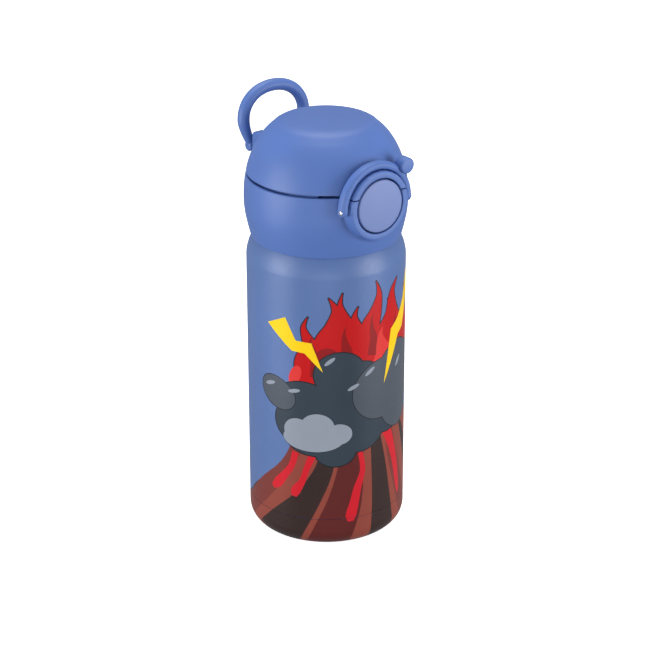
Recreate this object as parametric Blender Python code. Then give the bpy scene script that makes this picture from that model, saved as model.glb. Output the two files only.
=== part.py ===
"""Kids' insulated straw bottle, built as separate solids in metres with +Z up.

The origin is the centre of the flat base. The push button faces -Y and the cap's hinge is at +Y.
Each moving group hangs from an empty on its joint's axis.
"""

import math

import bmesh
import bpy
from mathutils import Matrix, Vector

MM = 0.001
GAP = 0.3 * MM              # between pieces that touch
LATHE_STEPS = 32
ROUND_STEPS = 18

# Bottle
BODY_RADIUS = 35 * MM
STEEL = 0.4 * MM            # wall of both steel shells
SEAM_HEIGHT = 14.7 * MM     # weld between the body tube and the base cup
BASE_FILLET = 8.3 * MM
BASE_GROOVE = 0.8 * MM
SHOULDER_START = 129 * MM
SHOULDER_END = 143 * MM
SHOULDER_POWER = 1.6        # of the superellipse between the body and the neck
NECK_RADIUS = 27 * MM
NECK_TOP = 157 * MM
LINER_RADIUS = 32 * MM
LINER_BOTTOM = 6 * MM
LINER_NECK = 25.8 * MM
LIP = 0.8 * MM

# Screw thread between the neck and the lid, right-handed
THREAD_LEAD = 4 * MM
THREAD_HEIGHT = 1.1 * MM
THREAD_BOTTOM = 146 * MM
THREAD_TOP = 155 * MM
THREAD_ROWS = 13
INSERT_BORE = 28.8 * MM
INSERT_RADIUS = 30.2 * MM
INSERT_BOTTOM = 144 * MM
INSERT_TOP = 158.5 * MM

# Lid: collar below the parting line, flip cap above it
COLLAR_BOTTOM = 138.1 * MM
COLLAR_TOP = 165.8 * MM
CAP_BOTTOM = 166.9 * MM
DECK_BOTTOM = 159.9 * MM
DECK_TOP = 161.7 * MM
COLLAR_BORE = 30.5 * MM
CAP_WALL = 2 * MM
REBATE_RADIUS = 32.9 * MM   # inside the collar's rim, where the cap's skirt enters
REBATE_BOTTOM = 163.4 * MM
SKIRT_OUTER = 32.4 * MM
SKIRT_INNER = 31.3 * MM
CAP_LINER_WALL = 1.2 * MM
CAP_TOP = 190.7 * MM
CREASE_RADIUS = 19.5 * MM   # where the flat crown begins
CREASE_HEIGHT = 189.5 * MM

# Push button and its housing, along Y
BUTTON_HEIGHT = 161 * MM
BUTTON_RADIUS = 11.5 * MM
BUTTON_FACE = 38.3 * MM
BUTTON_BULGE = 0.7 * MM
BUTTON_BACK = 33.7 * MM
BUTTON_TRAVEL = 2 * MM
HOUSING_BORE = 12.2 * MM
HOUSING_RADIUS = 15 * MM
HOUSING_FACE = 38 * MM
HOUSING_BACK = 31.3 * MM
HOUSING_SPLIT = 166.35 * MM
BEZEL_BACK = 29.5 * MM

# Lock bail round the button
BAIL_DISTANCE = 34.5 * MM
BAIL_INNER = 15.5 * MM
BAIL_OUTER = 18.7 * MM
BAIL_DEPTH = 4 * MM
KNOB_ANGLE = math.radians(45)
KNOB_REACH = 21 * MM
KNOB_RADIUS = 3.8 * MM

# Hinge of the cap, at the back
HINGE_DISTANCE = 36.5 * MM
HINGE_HEIGHT = 165.5 * MM
HINGE_RADIUS = 3 * MM
KNUCKLE_INNER = 3.9 * MM
KNUCKLE_OUTER = 6.9 * MM
PIN_RADIUS = 1.2 * MM

# Carry loop on the cap
LOOP_DISTANCE = 37.2 * MM
LOOP_HEIGHT = 170.5 * MM
LOOP_LEAN = math.radians(5)
LOOP_FOOT = 13.25 * MM
LOOP_HALF_WIDTH = 16.2 * MM
LOOP_WIDEST = 11 * MM
LOOP_RISE = 24.7 * MM
LOOP_THIN = 2 * MM
LOOP_THICK = 2.75 * MM
EYE_RADIUS = 2.7 * MM
EYE_INNER = 11.2 * MM
EYE_OUTER = 15.2 * MM
LUG_INNER = 7.4 * MM
LUG_OUTER = 10.8 * MM

# Straw and mouthpiece, on the axis
STRAW_RADIUS = 3.5 * MM
STRAW_BORE = 2.6 * MM
SPOUT_RADIUS = 6.2 * MM
SPOUT_TOP = 184.1 * MM

MATERIALS = {
    "satin_blue_plastic": ((0.020, 0.165, 0.50), 0.42, 0.0),
    "pale_blue_plastic": ((0.10, 0.25, 0.46), 0.45, 0.0),
    "coated_blue_steel": ((0.020, 0.16, 0.47), 0.55, 0.3),
    "bare_steel": ((0.60, 0.60, 0.60), 0.3, 1.0),
    "clear_plastic": ((0.75, 0.80, 0.82), 0.25, 0.0),
    "white_plastic": ((0.82, 0.82, 0.80), 0.4, 0.0),
    "blue_silicone": ((0.06, 0.22, 0.45), 0.7, 0.0),
    "white_silicone": ((0.80, 0.80, 0.78), 0.7, 0.0),
    "spring_steel": ((0.45, 0.45, 0.46), 0.35, 1.0),
}


def mm(pairs):
    return [(first * MM, second * MM) for first, second in pairs]


def lid_outline():
    """The smooth bulge of the lid's side, as points that a curve is drawn through."""
    return mm([(32.84, 138.1), (34.3, 144), (35.4, 150), (35.7, 156), (35.1, 164),
               (33.2, 172), (29.5, 180), (24.6, 186), (19.5, 189.5)])


def radius_on(outline, height):
    """Radius at a height, on a Catmull-Rom curve through the outline's points."""
    points = [outline[0]] + outline + [outline[-1]]
    for i in range(1, len(points) - 2):
        (r0, z0), (r1, z1), (r2, z2), (r3, z3) = points[i - 1:i + 3]
        if height <= z2 or i == len(points) - 3:
            t = (height - z1) / (z2 - z1)
            slope_1 = (r2 - r0) / max(z2 - z0, MM) * (z2 - z1)
            slope_2 = (r3 - r1) / max(z3 - z1, MM) * (z2 - z1)
            return ((2 * t**3 - 3 * t**2 + 1) * r1 + (t**3 - 2 * t**2 + t) * slope_1
                    + (3 * t**2 - 2 * t**3) * r2 + (t**3 - t**2) * slope_2)
    return points[-1][0]


def side_points(low, high, count):
    """Evenly spaced heights on the lid's side, as (radius, height)."""
    outline = lid_outline()
    heights = [low + (high - low) * i / (count - 1) for i in range(count)]
    return [(radius_on(outline, z), z) for z in heights]


def dome_points(inset):
    """The cap's outline from its lower edge to the crown, moved inwards by inset."""
    points = side_points(CAP_BOTTOM, CREASE_HEIGHT, 9)
    fall = CAP_TOP - CREASE_HEIGHT
    for share in (0.66, 0.33):
        points.append((CREASE_RADIUS * share, CAP_TOP - fall * share**2))
    points.append((0, CAP_TOP))
    moved = []
    for i, (r, z) in enumerate(points):
        before = points[max(i - 1, 0)]
        after = points[min(i + 1, len(points) - 1)]
        along = Vector((after[0] - before[0], after[1] - before[1])).normalized()
        moved.append((max(r - inset * along.y, 0), z + inset * along.x))
    moved[-1] = (0, CAP_TOP - inset)
    return moved


def make_material(name):
    colour, roughness, metallic = MATERIALS[name]
    material = bpy.data.materials.new(name)
    material.use_nodes = True
    shader = material.node_tree.nodes["Principled BSDF"]
    shader.inputs["Base Color"].default_value = (*colour, 1)
    shader.inputs["Roughness"].default_value = roughness
    shader.inputs["Metallic"].default_value = metallic
    material.diffuse_color = (*colour, 1)
    return material


def add_object(name, bm, finish=None, parent=None):
    """Make an object of a bmesh. One with no finish is a cutter or a helper, and isn't a piece."""
    bmesh.ops.remove_doubles(bm, verts=bm.verts, dist=1e-6)
    bmesh.ops.recalc_face_normals(bm, faces=bm.faces)
    mesh = bpy.data.meshes.new(name)
    bm.to_mesh(mesh)
    bm.free()
    mesh.shade_smooth()
    piece = bpy.data.objects.new(name, mesh)
    bpy.context.collection.objects.link(piece)
    if finish is None:
        piece.hide_render = True
        piece.display_type = "WIRE"
    else:
        mesh.materials.append(bpy.data.materials.get(finish) or make_material(finish))
    if parent is not None:
        piece.parent = parent
        piece.matrix_parent_inverse = Matrix.Translation(-parent.location)
    return piece


def combine(piece, other, operation):
    boolean = piece.modifiers.new(f"{operation.lower()} {other.name}", "BOOLEAN")
    boolean.operation = operation
    boolean.solver = "EXACT"
    boolean.object = other


def lathe(outline, steps=LATHE_STEPS, closed=True):
    """Spin (radius, height) points round Z. A closed outline is a ring, an open one ends on the axis."""
    bm = bmesh.new()
    verts = [bm.verts.new((r, 0, z)) for r, z in outline]
    edges = [bm.edges.new(pair) for pair in zip(verts, verts[1:])]
    if closed:
        edges.append(bm.edges.new((verts[-1], verts[0])))
    bmesh.ops.spin(bm, geom=verts + edges, cent=(0, 0, 0), axis=(0, 0, 1),
                   angle=math.tau, steps=steps, use_merge=True)
    return bm


def disc(radius, low, high, bore=0.0, steps=ROUND_STEPS):
    if bore:
        return lathe([(bore, low), (radius, low), (radius, high), (bore, high)], steps)
    return lathe([(0, low), (radius, low), (radius, high), (0, high)], steps, closed=False)


def turn(bm, axis, centre):
    """Lay a solid made round Z along another axis, then move it."""
    rotation = Vector((0, 0, 1)).rotation_difference(Vector(axis)).to_matrix().to_4x4()
    bmesh.ops.transform(bm, matrix=Matrix.Translation(centre) @ rotation, verts=bm.verts)
    return bm


def rod(radius, low, high, axis, centre, bore=0.0, steps=ROUND_STEPS):
    return turn(disc(radius, low, high, bore, steps), axis, centre)


def block(low, high):
    bm = bmesh.new()
    bmesh.ops.create_cube(bm, size=1)
    size = [b - a for a, b in zip(low, high)]
    middle = [(a + b) / 2 for a, b in zip(low, high)]
    bmesh.ops.scale(bm, vec=size, verts=bm.verts)
    bmesh.ops.translate(bm, vec=middle, verts=bm.verts)
    return bm


def tube_along(path, radii, sides):
    """A closed tube of changing radius along a path, with flat ends."""
    bm = bmesh.new()
    rings = []
    for i, point in enumerate(path):
        ahead = path[min(i + 1, len(path) - 1)]
        behind = path[max(i - 1, 0)]
        along = (ahead - behind).normalized()
        across = along.cross(Vector((0, 1, 0))).normalized()
        upward = across.cross(along)
        ring = []
        for k in range(sides):
            angle = math.tau * k / sides
            offset = across * math.cos(angle) + upward * math.sin(angle)
            ring.append(bm.verts.new(point + offset * radii[i]))
        rings.append(ring)
    for a, b in zip(rings, rings[1:]):
        for k in range(sides):
            bm.faces.new((a[k], a[(k + 1) % sides], b[(k + 1) % sides], b[k]))
    bm.faces.new(rings[0])
    bm.faces.new(rings[-1])
    return bm


def coil(radius, wire, low, high, turns, axis, centre):
    """A compression or torsion spring along an axis."""
    steps = 10 * turns
    reach = high - low - 2 * wire
    path = []
    for i in range(steps + 1):
        angle = math.tau * turns * i / steps
        height = low + wire + reach * i / steps
        path.append(Vector((radius * math.cos(angle), radius * math.sin(angle), height)))
    bm = bmesh.new()
    rings = []
    for i, point in enumerate(path):
        outward = Vector((point.x, point.y, 0)).normalized()
        ring = []
        for k in range(6):
            angle = math.tau * k / 6
            ring.append(bm.verts.new(point + (outward * math.cos(angle)
                                              + Vector((0, 0, math.sin(angle)))) * wire))
        rings.append(ring)
    for a, b in zip(rings, rings[1:]):
        for k in range(6):
            bm.faces.new((a[k], a[(k + 1) % 6], b[(k + 1) % 6], b[k]))
    bm.faces.new(rings[0])
    bm.faces.new(rings[-1])
    return turn(bm, axis, centre)


def thread_rows():
    step = (THREAD_TOP - THREAD_BOTTOM) / (THREAD_ROWS - 1)
    return [THREAD_BOTTOM + step * i for i in range(THREAD_ROWS)]


def raise_thread(bm, surface, height, phase):
    """Push the points on a cylinder out, or in, along a right-handed helix."""
    for vert in bm.verts:
        x, y, z = vert.co
        if abs(math.hypot(x, y) - surface) > GAP or not THREAD_BOTTOM < z < THREAD_TOP:
            continue
        turns = (z - THREAD_BOTTOM) / THREAD_LEAD - math.atan2(y, x) / math.tau - phase
        off = abs((turns + 0.5) % 1 - 0.5)
        rise = min(max((0.26 - off) / 0.12, 0), 1)
        factor = (surface + height * rise) / surface
        vert.co = (x * factor, y * factor, z)


# ---- Bottle ----

def shoulder_points(radius, neck, start, end, count):
    """The superellipse from the body's wall to the neck."""
    points = []
    for i in range(count + 1):
        share = math.sin(math.pi / 2 * i / count)
        across = (1 - share**SHOULDER_POWER) ** (1 / SHOULDER_POWER)
        points.append((neck + (radius - neck) * across, start + (end - start) * share))
    return points


def make_outer_shell(parent):
    low = SEAM_HEIGHT + GAP / 2
    outside = [(BODY_RADIUS, low)]
    outside += shoulder_points(BODY_RADIUS, NECK_RADIUS, SHOULDER_START, SHOULDER_END, 7)
    outside += [(NECK_RADIUS, z) for z in thread_rows()]
    outside.append((NECK_RADIUS, NECK_TOP))
    inside = shoulder_points(BODY_RADIUS - STEEL, NECK_RADIUS - STEEL,
                             SHOULDER_START - STEEL, SHOULDER_END - STEEL, 5)
    inside = [(NECK_RADIUS - STEEL, NECK_TOP)] + inside[::-1] + [(BODY_RADIUS - STEEL, low)]
    bm = lathe(outside + inside)
    raise_thread(bm, NECK_RADIUS, THREAD_HEIGHT, 0)
    return add_object("outer_shell", bm, "coated_blue_steel", parent)


def make_bottom_shell(parent):
    """The base cup, with a flat middle, a shallow groove round it and a filleted edge."""
    high = SEAM_HEIGHT - GAP / 2
    outside = [(0, 0), (17 * MM, 0), (18 * MM, BASE_GROOVE), (21 * MM, BASE_GROOVE), (22 * MM, 0)]
    middle = BODY_RADIUS - BASE_FILLET
    for i in range(6):
        angle = math.pi / 2 * i / 5
        outside.append((middle + BASE_FILLET * math.sin(angle),
                        BASE_FILLET * (1 - math.cos(angle))))
    outside.append((BODY_RADIUS, high))
    inner = BASE_FILLET - STEEL
    inside = [(BODY_RADIUS - STEEL, high)]
    for i in range(5, -1, -1):
        angle = math.pi / 2 * i / 5
        inside.append((middle + inner * math.sin(angle), BASE_FILLET - inner * math.cos(angle)))
    inside += [(22.5 * MM, STEEL), (21.5 * MM, BASE_GROOVE + STEEL), (17.5 * MM, BASE_GROOVE + STEEL),
               (16.5 * MM, STEEL), (0, STEEL)]
    return add_object("bottom_shell", lathe(outside + inside, closed=False),
                      "coated_blue_steel", parent)


def make_inner_liner(parent):
    """The drinking vessel, with a rolled lip over the end of the outer shell."""
    round_edge = 6 * MM
    outside = [(0, LINER_BOTTOM)]
    for i in range(4):
        angle = math.pi / 2 * i / 3
        outside.append((LINER_RADIUS - round_edge * (1 - math.sin(angle)),
                        LINER_BOTTOM + round_edge * (1 - math.cos(angle))))
    outside += shoulder_points(LINER_RADIUS, LINER_NECK, SHOULDER_START - 5 * MM,
                               SHOULDER_END - 4 * MM, 5)
    lip_low = NECK_TOP + GAP
    outside += [(LINER_NECK, lip_low), (NECK_RADIUS, lip_low), (NECK_RADIUS, lip_low + LIP)]
    inside = [(LINER_NECK - STEEL, lip_low + LIP)]
    inside += shoulder_points(LINER_RADIUS - STEEL, LINER_NECK - STEEL,
                              SHOULDER_START - 6 * MM, SHOULDER_END - 5 * MM, 5)[::-1]
    for i in range(3, -1, -1):
        angle = math.pi / 2 * i / 3
        inner = round_edge - STEEL
        inside.append((LINER_RADIUS - round_edge + inner * math.sin(angle),
                       LINER_BOTTOM + round_edge - inner * math.cos(angle)))
    inside.append((0, LINER_BOTTOM + STEEL))
    return add_object("inner_liner", lathe(outside + inside, closed=False), "bare_steel", parent)


def make_vacuum_getter(parent):
    low = STEEL + GAP
    return add_object("vacuum_getter", disc(8 * MM, low, low + 1.2 * MM), "spring_steel", parent)


# ---- Straw and gasket, which rise with the lid ----

def make_straw(parent):
    bm = disc(STRAW_RADIUS, 12 * MM, 160.5 * MM, STRAW_BORE)
    return add_object("straw", bm, "clear_plastic", parent)


def make_mouth_gasket(parent):
    low = NECK_TOP + GAP + LIP + GAP
    bm = disc(NECK_RADIUS + 0.3 * MM, low, DECK_BOTTOM - GAP, 23.5 * MM, LATHE_STEPS)
    return add_object("mouth_gasket", bm, "white_silicone", parent)


# ---- Collar and what is fixed in it ----

def away_from_button(name, bm):
    """The part of a ring or disc round the axis that is clear of the button's housing."""
    ring = add_object(name, bm)
    front = block((-19.6 * MM, -40 * MM, 150 * MM), (19.6 * MM, -20 * MM, 180 * MM))
    combine(ring, add_object(f"{name}_front", front), "DIFFERENCE")
    return ring


def make_collar_shell(parent):
    """The fixed half of the lid: skirt, deck, button housing and hinge knuckles."""
    outside = [(0, COLLAR_BOTTOM)] + side_points(COLLAR_BOTTOM, COLLAR_TOP, 8)
    outside.append((0, COLLAR_TOP))
    collar = add_object("collar_shell", lathe(outside, closed=False), "satin_blue_plastic", parent)
    below = [(0, 137 * MM), (33.6 * MM, 137 * MM)]
    below += mm([(32.5, 138.1), (31.9, 139), (31.3, 140.2)])
    below += [(COLLAR_BORE, 142 * MM), (COLLAR_BORE, DECK_BOTTOM), (0, DECK_BOTTOM)]
    above = disc(COLLAR_BORE, DECK_TOP, HOUSING_SPLIT + 2 * MM, steps=LATHE_STEPS)
    front = (0, -1, 0)
    across = (1, 0, 0)
    face = (0, 0, BUTTON_HEIGHT)
    pivot = (0, -BAIL_DISTANCE, BUTTON_HEIGHT)
    hinge = (0, HINGE_DISTANCE, HINGE_HEIGHT)
    boss_end = HOUSING_RADIUS + 0.2 * MM
    split = HOUSING_SPLIT - GAP / 2
    pin_hole = PIN_RADIUS + GAP
    steps = [
        ("UNION", "housing", rod(HOUSING_RADIUS, 27 * MM, HOUSING_FACE, front, face, steps=37)),
        ("UNION", "bail_bosses", rod(2.2 * MM, -boss_end, boss_end, across, pivot)),
        ("DIFFERENCE", "space_below_deck", lathe(below, closed=False)),
        ("DIFFERENCE", "space_above_deck", above),
        ("DIFFERENCE", "button_bore", rod(HOUSING_BORE, HOUSING_BACK, 40 * MM, front, face, steps=31)),
        ("DIFFERENCE", "bezel_space", block((-17 * MM, -40 * MM, split), (17 * MM, -20 * MM, 178 * MM))),
        ("DIFFERENCE", "bail_pin_hole", rod(pin_hole, -17 * MM, 17 * MM, across, pivot, steps=15)),
        ("DIFFERENCE", "cap_knuckle_space", rod(HINGE_RADIUS + 0.4 * MM, -KNUCKLE_INNER - 0.1 * MM,
                                                KNUCKLE_INNER + 0.1 * MM, across, hinge, steps=23)),
        ("DIFFERENCE", "socket_hole", disc(6.3 * MM, DECK_BOTTOM - MM, DECK_TOP + MM)),
        ("DIFFERENCE", "valve_hole", turn(disc(2.3 * MM, -3 * MM, 3 * MM), (0, 0, 1),
                                          (0, 15 * MM, DECK_TOP))),
    ]
    for side, low, high in (("left", -KNUCKLE_OUTER, -KNUCKLE_INNER),
                            ("right", KNUCKLE_INNER, KNUCKLE_OUTER)):
        root = block((low + 0.05 * MM, 31.2 * MM, 159 * MM),
                     (high - 0.05 * MM, HINGE_DISTANCE + 0.5 * MM, HINGE_HEIGHT + 0.1 * MM))
        steps.append(("UNION", f"knuckle_{side}", rod(HINGE_RADIUS, low, high, across, hinge)))
        steps.append(("UNION", f"knuckle_root_{side}", root))
    steps.append(("DIFFERENCE", "hinge_pin_hole", rod(pin_hole, -9 * MM, 9 * MM, across, hinge, steps=15)))
    for operation, name, bm in steps:
        combine(collar, add_object(name, bm), operation)
    rebate = disc(REBATE_RADIUS, REBATE_BOTTOM, HOUSING_SPLIT + 3 * MM, steps=LATHE_STEPS)
    combine(collar, away_from_button("rim_rebate", rebate), "DIFFERENCE")
    return collar


def make_thread_insert(parent):
    inner = [(INSERT_BORE, INSERT_BOTTOM)]
    inner += [(INSERT_BORE, z) for z in thread_rows()]
    inner.append((INSERT_BORE, INSERT_TOP))
    bm = lathe(inner + [(INSERT_RADIUS, INSERT_TOP), (INSERT_RADIUS, INSERT_BOTTOM)])
    raise_thread(bm, INSERT_BORE, -1.3 * MM, 0.5)
    return add_object("thread_insert", bm, "white_plastic", parent)


def make_upper_bezel(parent):
    """The crescent over the button. It stands in a notch of the cap and stays on the collar."""
    centre = (0, 0, BUTTON_HEIGHT)
    front = (0, -1, 0)
    bm = rod(HOUSING_RADIUS, BEZEL_BACK, HOUSING_FACE, front, centre, steps=36)
    bezel = add_object("upper_bezel", bm, "satin_blue_plastic", parent)
    slice_high = HOUSING_SPLIT + GAP / 2
    cutters = [
        ("bezel_bore", rod(HOUSING_BORE, HOUSING_BACK - 0.5 * MM, 40 * MM, front, centre, steps=32)),
        ("below_bezel", block((-20 * MM, -42 * MM, 140 * MM), (20 * MM, -20 * MM, slice_high))),
        ("hook_slot", block((-4.5 * MM, -34 * MM, 160 * MM), (4.5 * MM, -25 * MM, 171.7 * MM))),
    ]
    for name, cutter in cutters:
        combine(bezel, add_object(name, cutter), "DIFFERENCE")
    return bezel


def make_spout_socket(parent):
    """Grips the straw below the deck and carries the mouthpiece above it."""
    flange = DECK_TOP + GAP
    outline = [(STRAW_RADIUS + GAP, 150 * MM), (6 * MM, 150 * MM), (6 * MM, flange),
               (9.5 * MM, flange), (9.5 * MM, flange + 1.5 * MM), (4.2 * MM, flange + 1.5 * MM),
               (4.2 * MM, 168 * MM), (STRAW_BORE, 168 * MM), (STRAW_BORE, 160.8 * MM),
               (STRAW_RADIUS + GAP, 160.8 * MM)]
    return add_object("spout_socket", lathe(outline, ROUND_STEPS), "white_plastic", parent)


def make_spout(parent):
    low = DECK_TOP + 2 * GAP + 1.5 * MM
    bore = 4.2 * MM + GAP
    outline = [(bore, low), (8 * MM, low), (8 * MM, low + 1.5 * MM), (SPOUT_RADIUS, low + 3 * MM),
               (5.2 * MM, 176 * MM), (5.6 * MM, 182 * MM), (SPOUT_RADIUS, 183.2 * MM),
               (5.4 * MM, SPOUT_TOP), (STRAW_BORE, SPOUT_TOP), (STRAW_BORE, 168.3 * MM),
               (bore, 168.3 * MM)]
    return add_object("spout", lathe(outline, ROUND_STEPS), "blue_silicone", parent)


def make_vent_valve(parent):
    """A duckbill in the deck, with its flange on top."""
    low = DECK_BOTTOM - 1.8 * MM
    flange = DECK_TOP + GAP
    outline = [(0, low), (0.7 * MM, low), (2 * MM, DECK_BOTTOM), (2 * MM, flange),
               (3.6 * MM, flange), (3.4 * MM, flange + 1.2 * MM), (0, flange + 1.2 * MM)]
    bm = turn(lathe(outline, 16, closed=False), (0, 0, 1), (0, 15 * MM, 0))
    return add_object("vent_valve", bm, "white_silicone", parent)


def make_hinge_pin(parent):
    centre = (0, HINGE_DISTANCE, HINGE_HEIGHT)
    bm = rod(PIN_RADIUS, -6.7 * MM, 6.7 * MM, (1, 0, 0), centre, steps=16)
    return add_object("hinge_pin", bm, "bare_steel", parent)


def make_hinge_spring(parent):
    centre = (0, HINGE_DISTANCE, HINGE_HEIGHT)
    bm = coil(1.8 * MM, 0.28 * MM, 0.75 * MM, 3.6 * MM, 3, (1, 0, 0), centre)
    return add_object("hinge_spring", bm, "spring_steel", parent)


def make_button_spring(parent):
    centre = (0, 0, BUTTON_HEIGHT)
    low = HOUSING_BACK + GAP
    bm = coil(4 * MM, 0.25 * MM, low, 35.7 * MM, 3, (0, -1, 0), centre)
    return add_object("button_spring", bm, "spring_steel", parent)


def make_bail_pins(parent):
    for name, side in (("bail_pin_left", -1), ("bail_pin_right", 1)):
        centre = (0, -BAIL_DISTANCE, BUTTON_HEIGHT)
        bm = rod(PIN_RADIUS, 12.9 * MM, 18.9 * MM, (side, 0, 0), centre, steps=16)
        add_object(name, bm, "bare_steel", parent)


# ---- Flip cap ----

def front_notch():
    """The room for the button's housing in the cap's front wall."""
    return rod(HOUSING_RADIUS + GAP, 26 * MM, 42 * MM, (0, -1, 0), (0, 0, BUTTON_HEIGHT), steps=37)


def make_cap_shell(parent):
    """The domed flip cap, with its hinge knuckle and the lugs of the carry loop at the back."""
    skirt_bottom = REBATE_BOTTOM + 0.6 * MM
    skirt = [(0, skirt_bottom), (SKIRT_OUTER, skirt_bottom), (SKIRT_OUTER, CAP_BOTTOM)]
    outside = skirt + dome_points(0)
    cap = add_object("cap_shell", lathe(outside, closed=False), "satin_blue_plastic", parent)
    across = (1, 0, 0)
    loop = (0, LOOP_DISTANCE, LOOP_HEIGHT)
    hinge = (0, HINGE_DISTANCE, HINGE_HEIGHT)
    pin_hole = PIN_RADIUS + GAP
    low = CAP_BOTTOM + GAP
    rim = radius_on(lid_outline(), CAP_BOTTOM) - CAP_WALL
    wall = [(SKIRT_INNER, skirt_bottom - MM), (SKIRT_INNER, CAP_BOTTOM + 1.3 * MM),
            (rim, CAP_BOTTOM + 1.3 * MM)]
    inside = [(0, skirt_bottom - MM)] + wall + dome_points(CAP_WALL)[1:]
    steps = []
    for side, name in ((-1, "left"), (1, "right")):
        near, far = sorted((side * LUG_INNER, side * LUG_OUTER))
        edge, end = sorted((side * (LUG_OUTER - MM), side * EYE_OUTER))
        web = block((near + 0.05 * MM, 24 * MM, low),
                    (far - 0.05 * MM, LOOP_DISTANCE, LOOP_HEIGHT + 3.1 * MM))
        rest = block((edge, 20 * MM, low + 0.1 * MM), (end, 34.1 * MM, LOOP_HEIGHT + 5 * MM))
        steps.append(("UNION", f"lug_{name}", rod(3.2 * MM, near, far, across, loop, steps=23)))
        steps.append(("UNION", f"lug_web_{name}", web))
        steps.append(("UNION", f"loop_rest_{name}", rest))
    arm = block((-3.5 * MM, 32.9 * MM, low), (0.3 * MM, HINGE_DISTANCE, 168.4 * MM))
    steps += [
        ("DIFFERENCE", "cap_space", lathe(inside, closed=False)),
        ("DIFFERENCE", "skirt_front", block((-20.2 * MM, -40 * MM, 160 * MM),
                                            (20.2 * MM, -20 * MM, CAP_BOTTOM + 0.07 * MM))),
        ("DIFFERENCE", "cap_notch", front_notch()),
        ("DIFFERENCE", "hinge_space", rod(HINGE_RADIUS + 0.4 * MM, -7.25 * MM, 7.25 * MM, across, hinge,
                                          steps=23)),
        ("UNION", "cap_knuckle_arm", arm),
        ("UNION", "cap_knuckle", rod(HINGE_RADIUS, -3.6 * MM, 0.4 * MM, across, hinge)),
        ("DIFFERENCE", "cap_pin_hole", rod(pin_hole, -5 * MM, 5 * MM, across, hinge, steps=15)),
        ("DIFFERENCE", "loop_pin_hole", rod(pin_hole, -20 * MM, 20 * MM, across, loop, steps=15)),
    ]
    for operation, name, bm in steps:
        combine(cap, add_object(name, bm), operation)
    return cap


def make_cap_liner(parent):
    """The inner shell, with a rib that reaches down towards the latch hook."""
    outer = dome_points(CAP_WALL + GAP)
    outer[0] = (outer[0][0], CAP_BOTTOM + 1.6 * MM)
    liner = add_object("cap_liner", lathe([(0, outer[0][1])] + outer, closed=False),
                       "white_plastic", parent)
    inner = dome_points(CAP_WALL + GAP + CAP_LINER_WALL)
    inside = [(0, CAP_BOTTOM - MM), (inner[0][0], CAP_BOTTOM - MM)] + inner
    space = add_object("liner_space", lathe(inside, closed=False))
    rib = add_object("catch_rib", block((-4 * MM, -25.5 * MM, 171.6 * MM), (4 * MM, -23 * MM, 186 * MM)))
    combine(space, rib, "DIFFERENCE")
    combine(liner, space, "DIFFERENCE")
    combine(liner, add_object("liner_notch", front_notch()), "DIFFERENCE")
    combine(liner, add_object("liner_arm_space", block((-4 * MM, 28 * MM, 160 * MM),
                                                       (0.8 * MM, 40 * MM, 168.8 * MM))), "DIFFERENCE")
    return liner


def make_cap_seal(parent):
    """The pad that closes the mouthpiece when the cap is shut."""
    low = SPOUT_TOP + GAP
    high = CAP_TOP - CAP_WALL - CAP_LINER_WALL - 3 * GAP
    outline = [(0, low), (6.4 * MM, low), (7 * MM, low + 0.6 * MM), (7 * MM, high), (0, high)]
    return add_object("cap_seal", lathe(outline, ROUND_STEPS, closed=False), "white_silicone", parent)


def make_handle_pins(parent):
    for name, side in (("handle_pin_left", -1), ("handle_pin_right", 1)):
        centre = (0, LOOP_DISTANCE, LOOP_HEIGHT)
        bm = rod(PIN_RADIUS, LUG_INNER + 0.3 * MM, EYE_OUTER - 0.2 * MM, (side, 0, 0), centre, steps=16)
        add_object(name, bm, "bare_steel", parent)


# ---- Button and latch ----

def make_push_button(parent):
    """A hollow button with a slightly crowned face."""
    skirt = BUTTON_RADIUS - 1.3 * MM
    outline = [(0, BUTTON_FACE - 2.3 * MM), (skirt, BUTTON_FACE - 2.3 * MM), (skirt, BUTTON_BACK),
               (BUTTON_RADIUS, BUTTON_BACK), (BUTTON_RADIUS, BUTTON_FACE - 0.8 * MM),
               (BUTTON_RADIUS - 0.8 * MM, BUTTON_FACE)]
    for share in (0.6, 0.3):
        outline.append(((BUTTON_RADIUS - 0.8 * MM) * share,
                        BUTTON_FACE + BUTTON_BULGE * (1 - share**2)))
    outline.append((0, BUTTON_FACE + BUTTON_BULGE))
    bm = turn(lathe(outline, 32, closed=False), (0, -1, 0), (0, 0, BUTTON_HEIGHT))
    return add_object("push_button", bm, "pale_blue_plastic", parent)


def make_latch_hook(parent):
    """A flat arm behind the button that reaches into the cap, with its nose turned up."""
    front = -(BUTTON_FACE - 2.3 * MM - GAP)
    side = [(front, 165.8 * MM), (front + 1.4 * MM, 165.8 * MM), (front + 1.4 * MM, 167.6 * MM),
            (-24 * MM, 167.6 * MM), (-24 * MM, 170.2 * MM), (-25 * MM, 171.2 * MM),
            (-26.5 * MM, 169.2 * MM), (front, 169.2 * MM)]
    bm = bmesh.new()
    verts = [bm.verts.new((-4 * MM, y, z)) for y, z in side]
    face = bm.faces.new(verts)
    moved = bmesh.ops.extrude_face_region(bm, geom=[face])["geom"]
    far_end = [vert for vert in moved if isinstance(vert, bmesh.types.BMVert)]
    bmesh.ops.translate(bm, vec=(8 * MM, 0, 0), verts=far_end)
    return add_object("latch_hook", bm, "white_plastic", parent)


# ---- Lock bail ----

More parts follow.
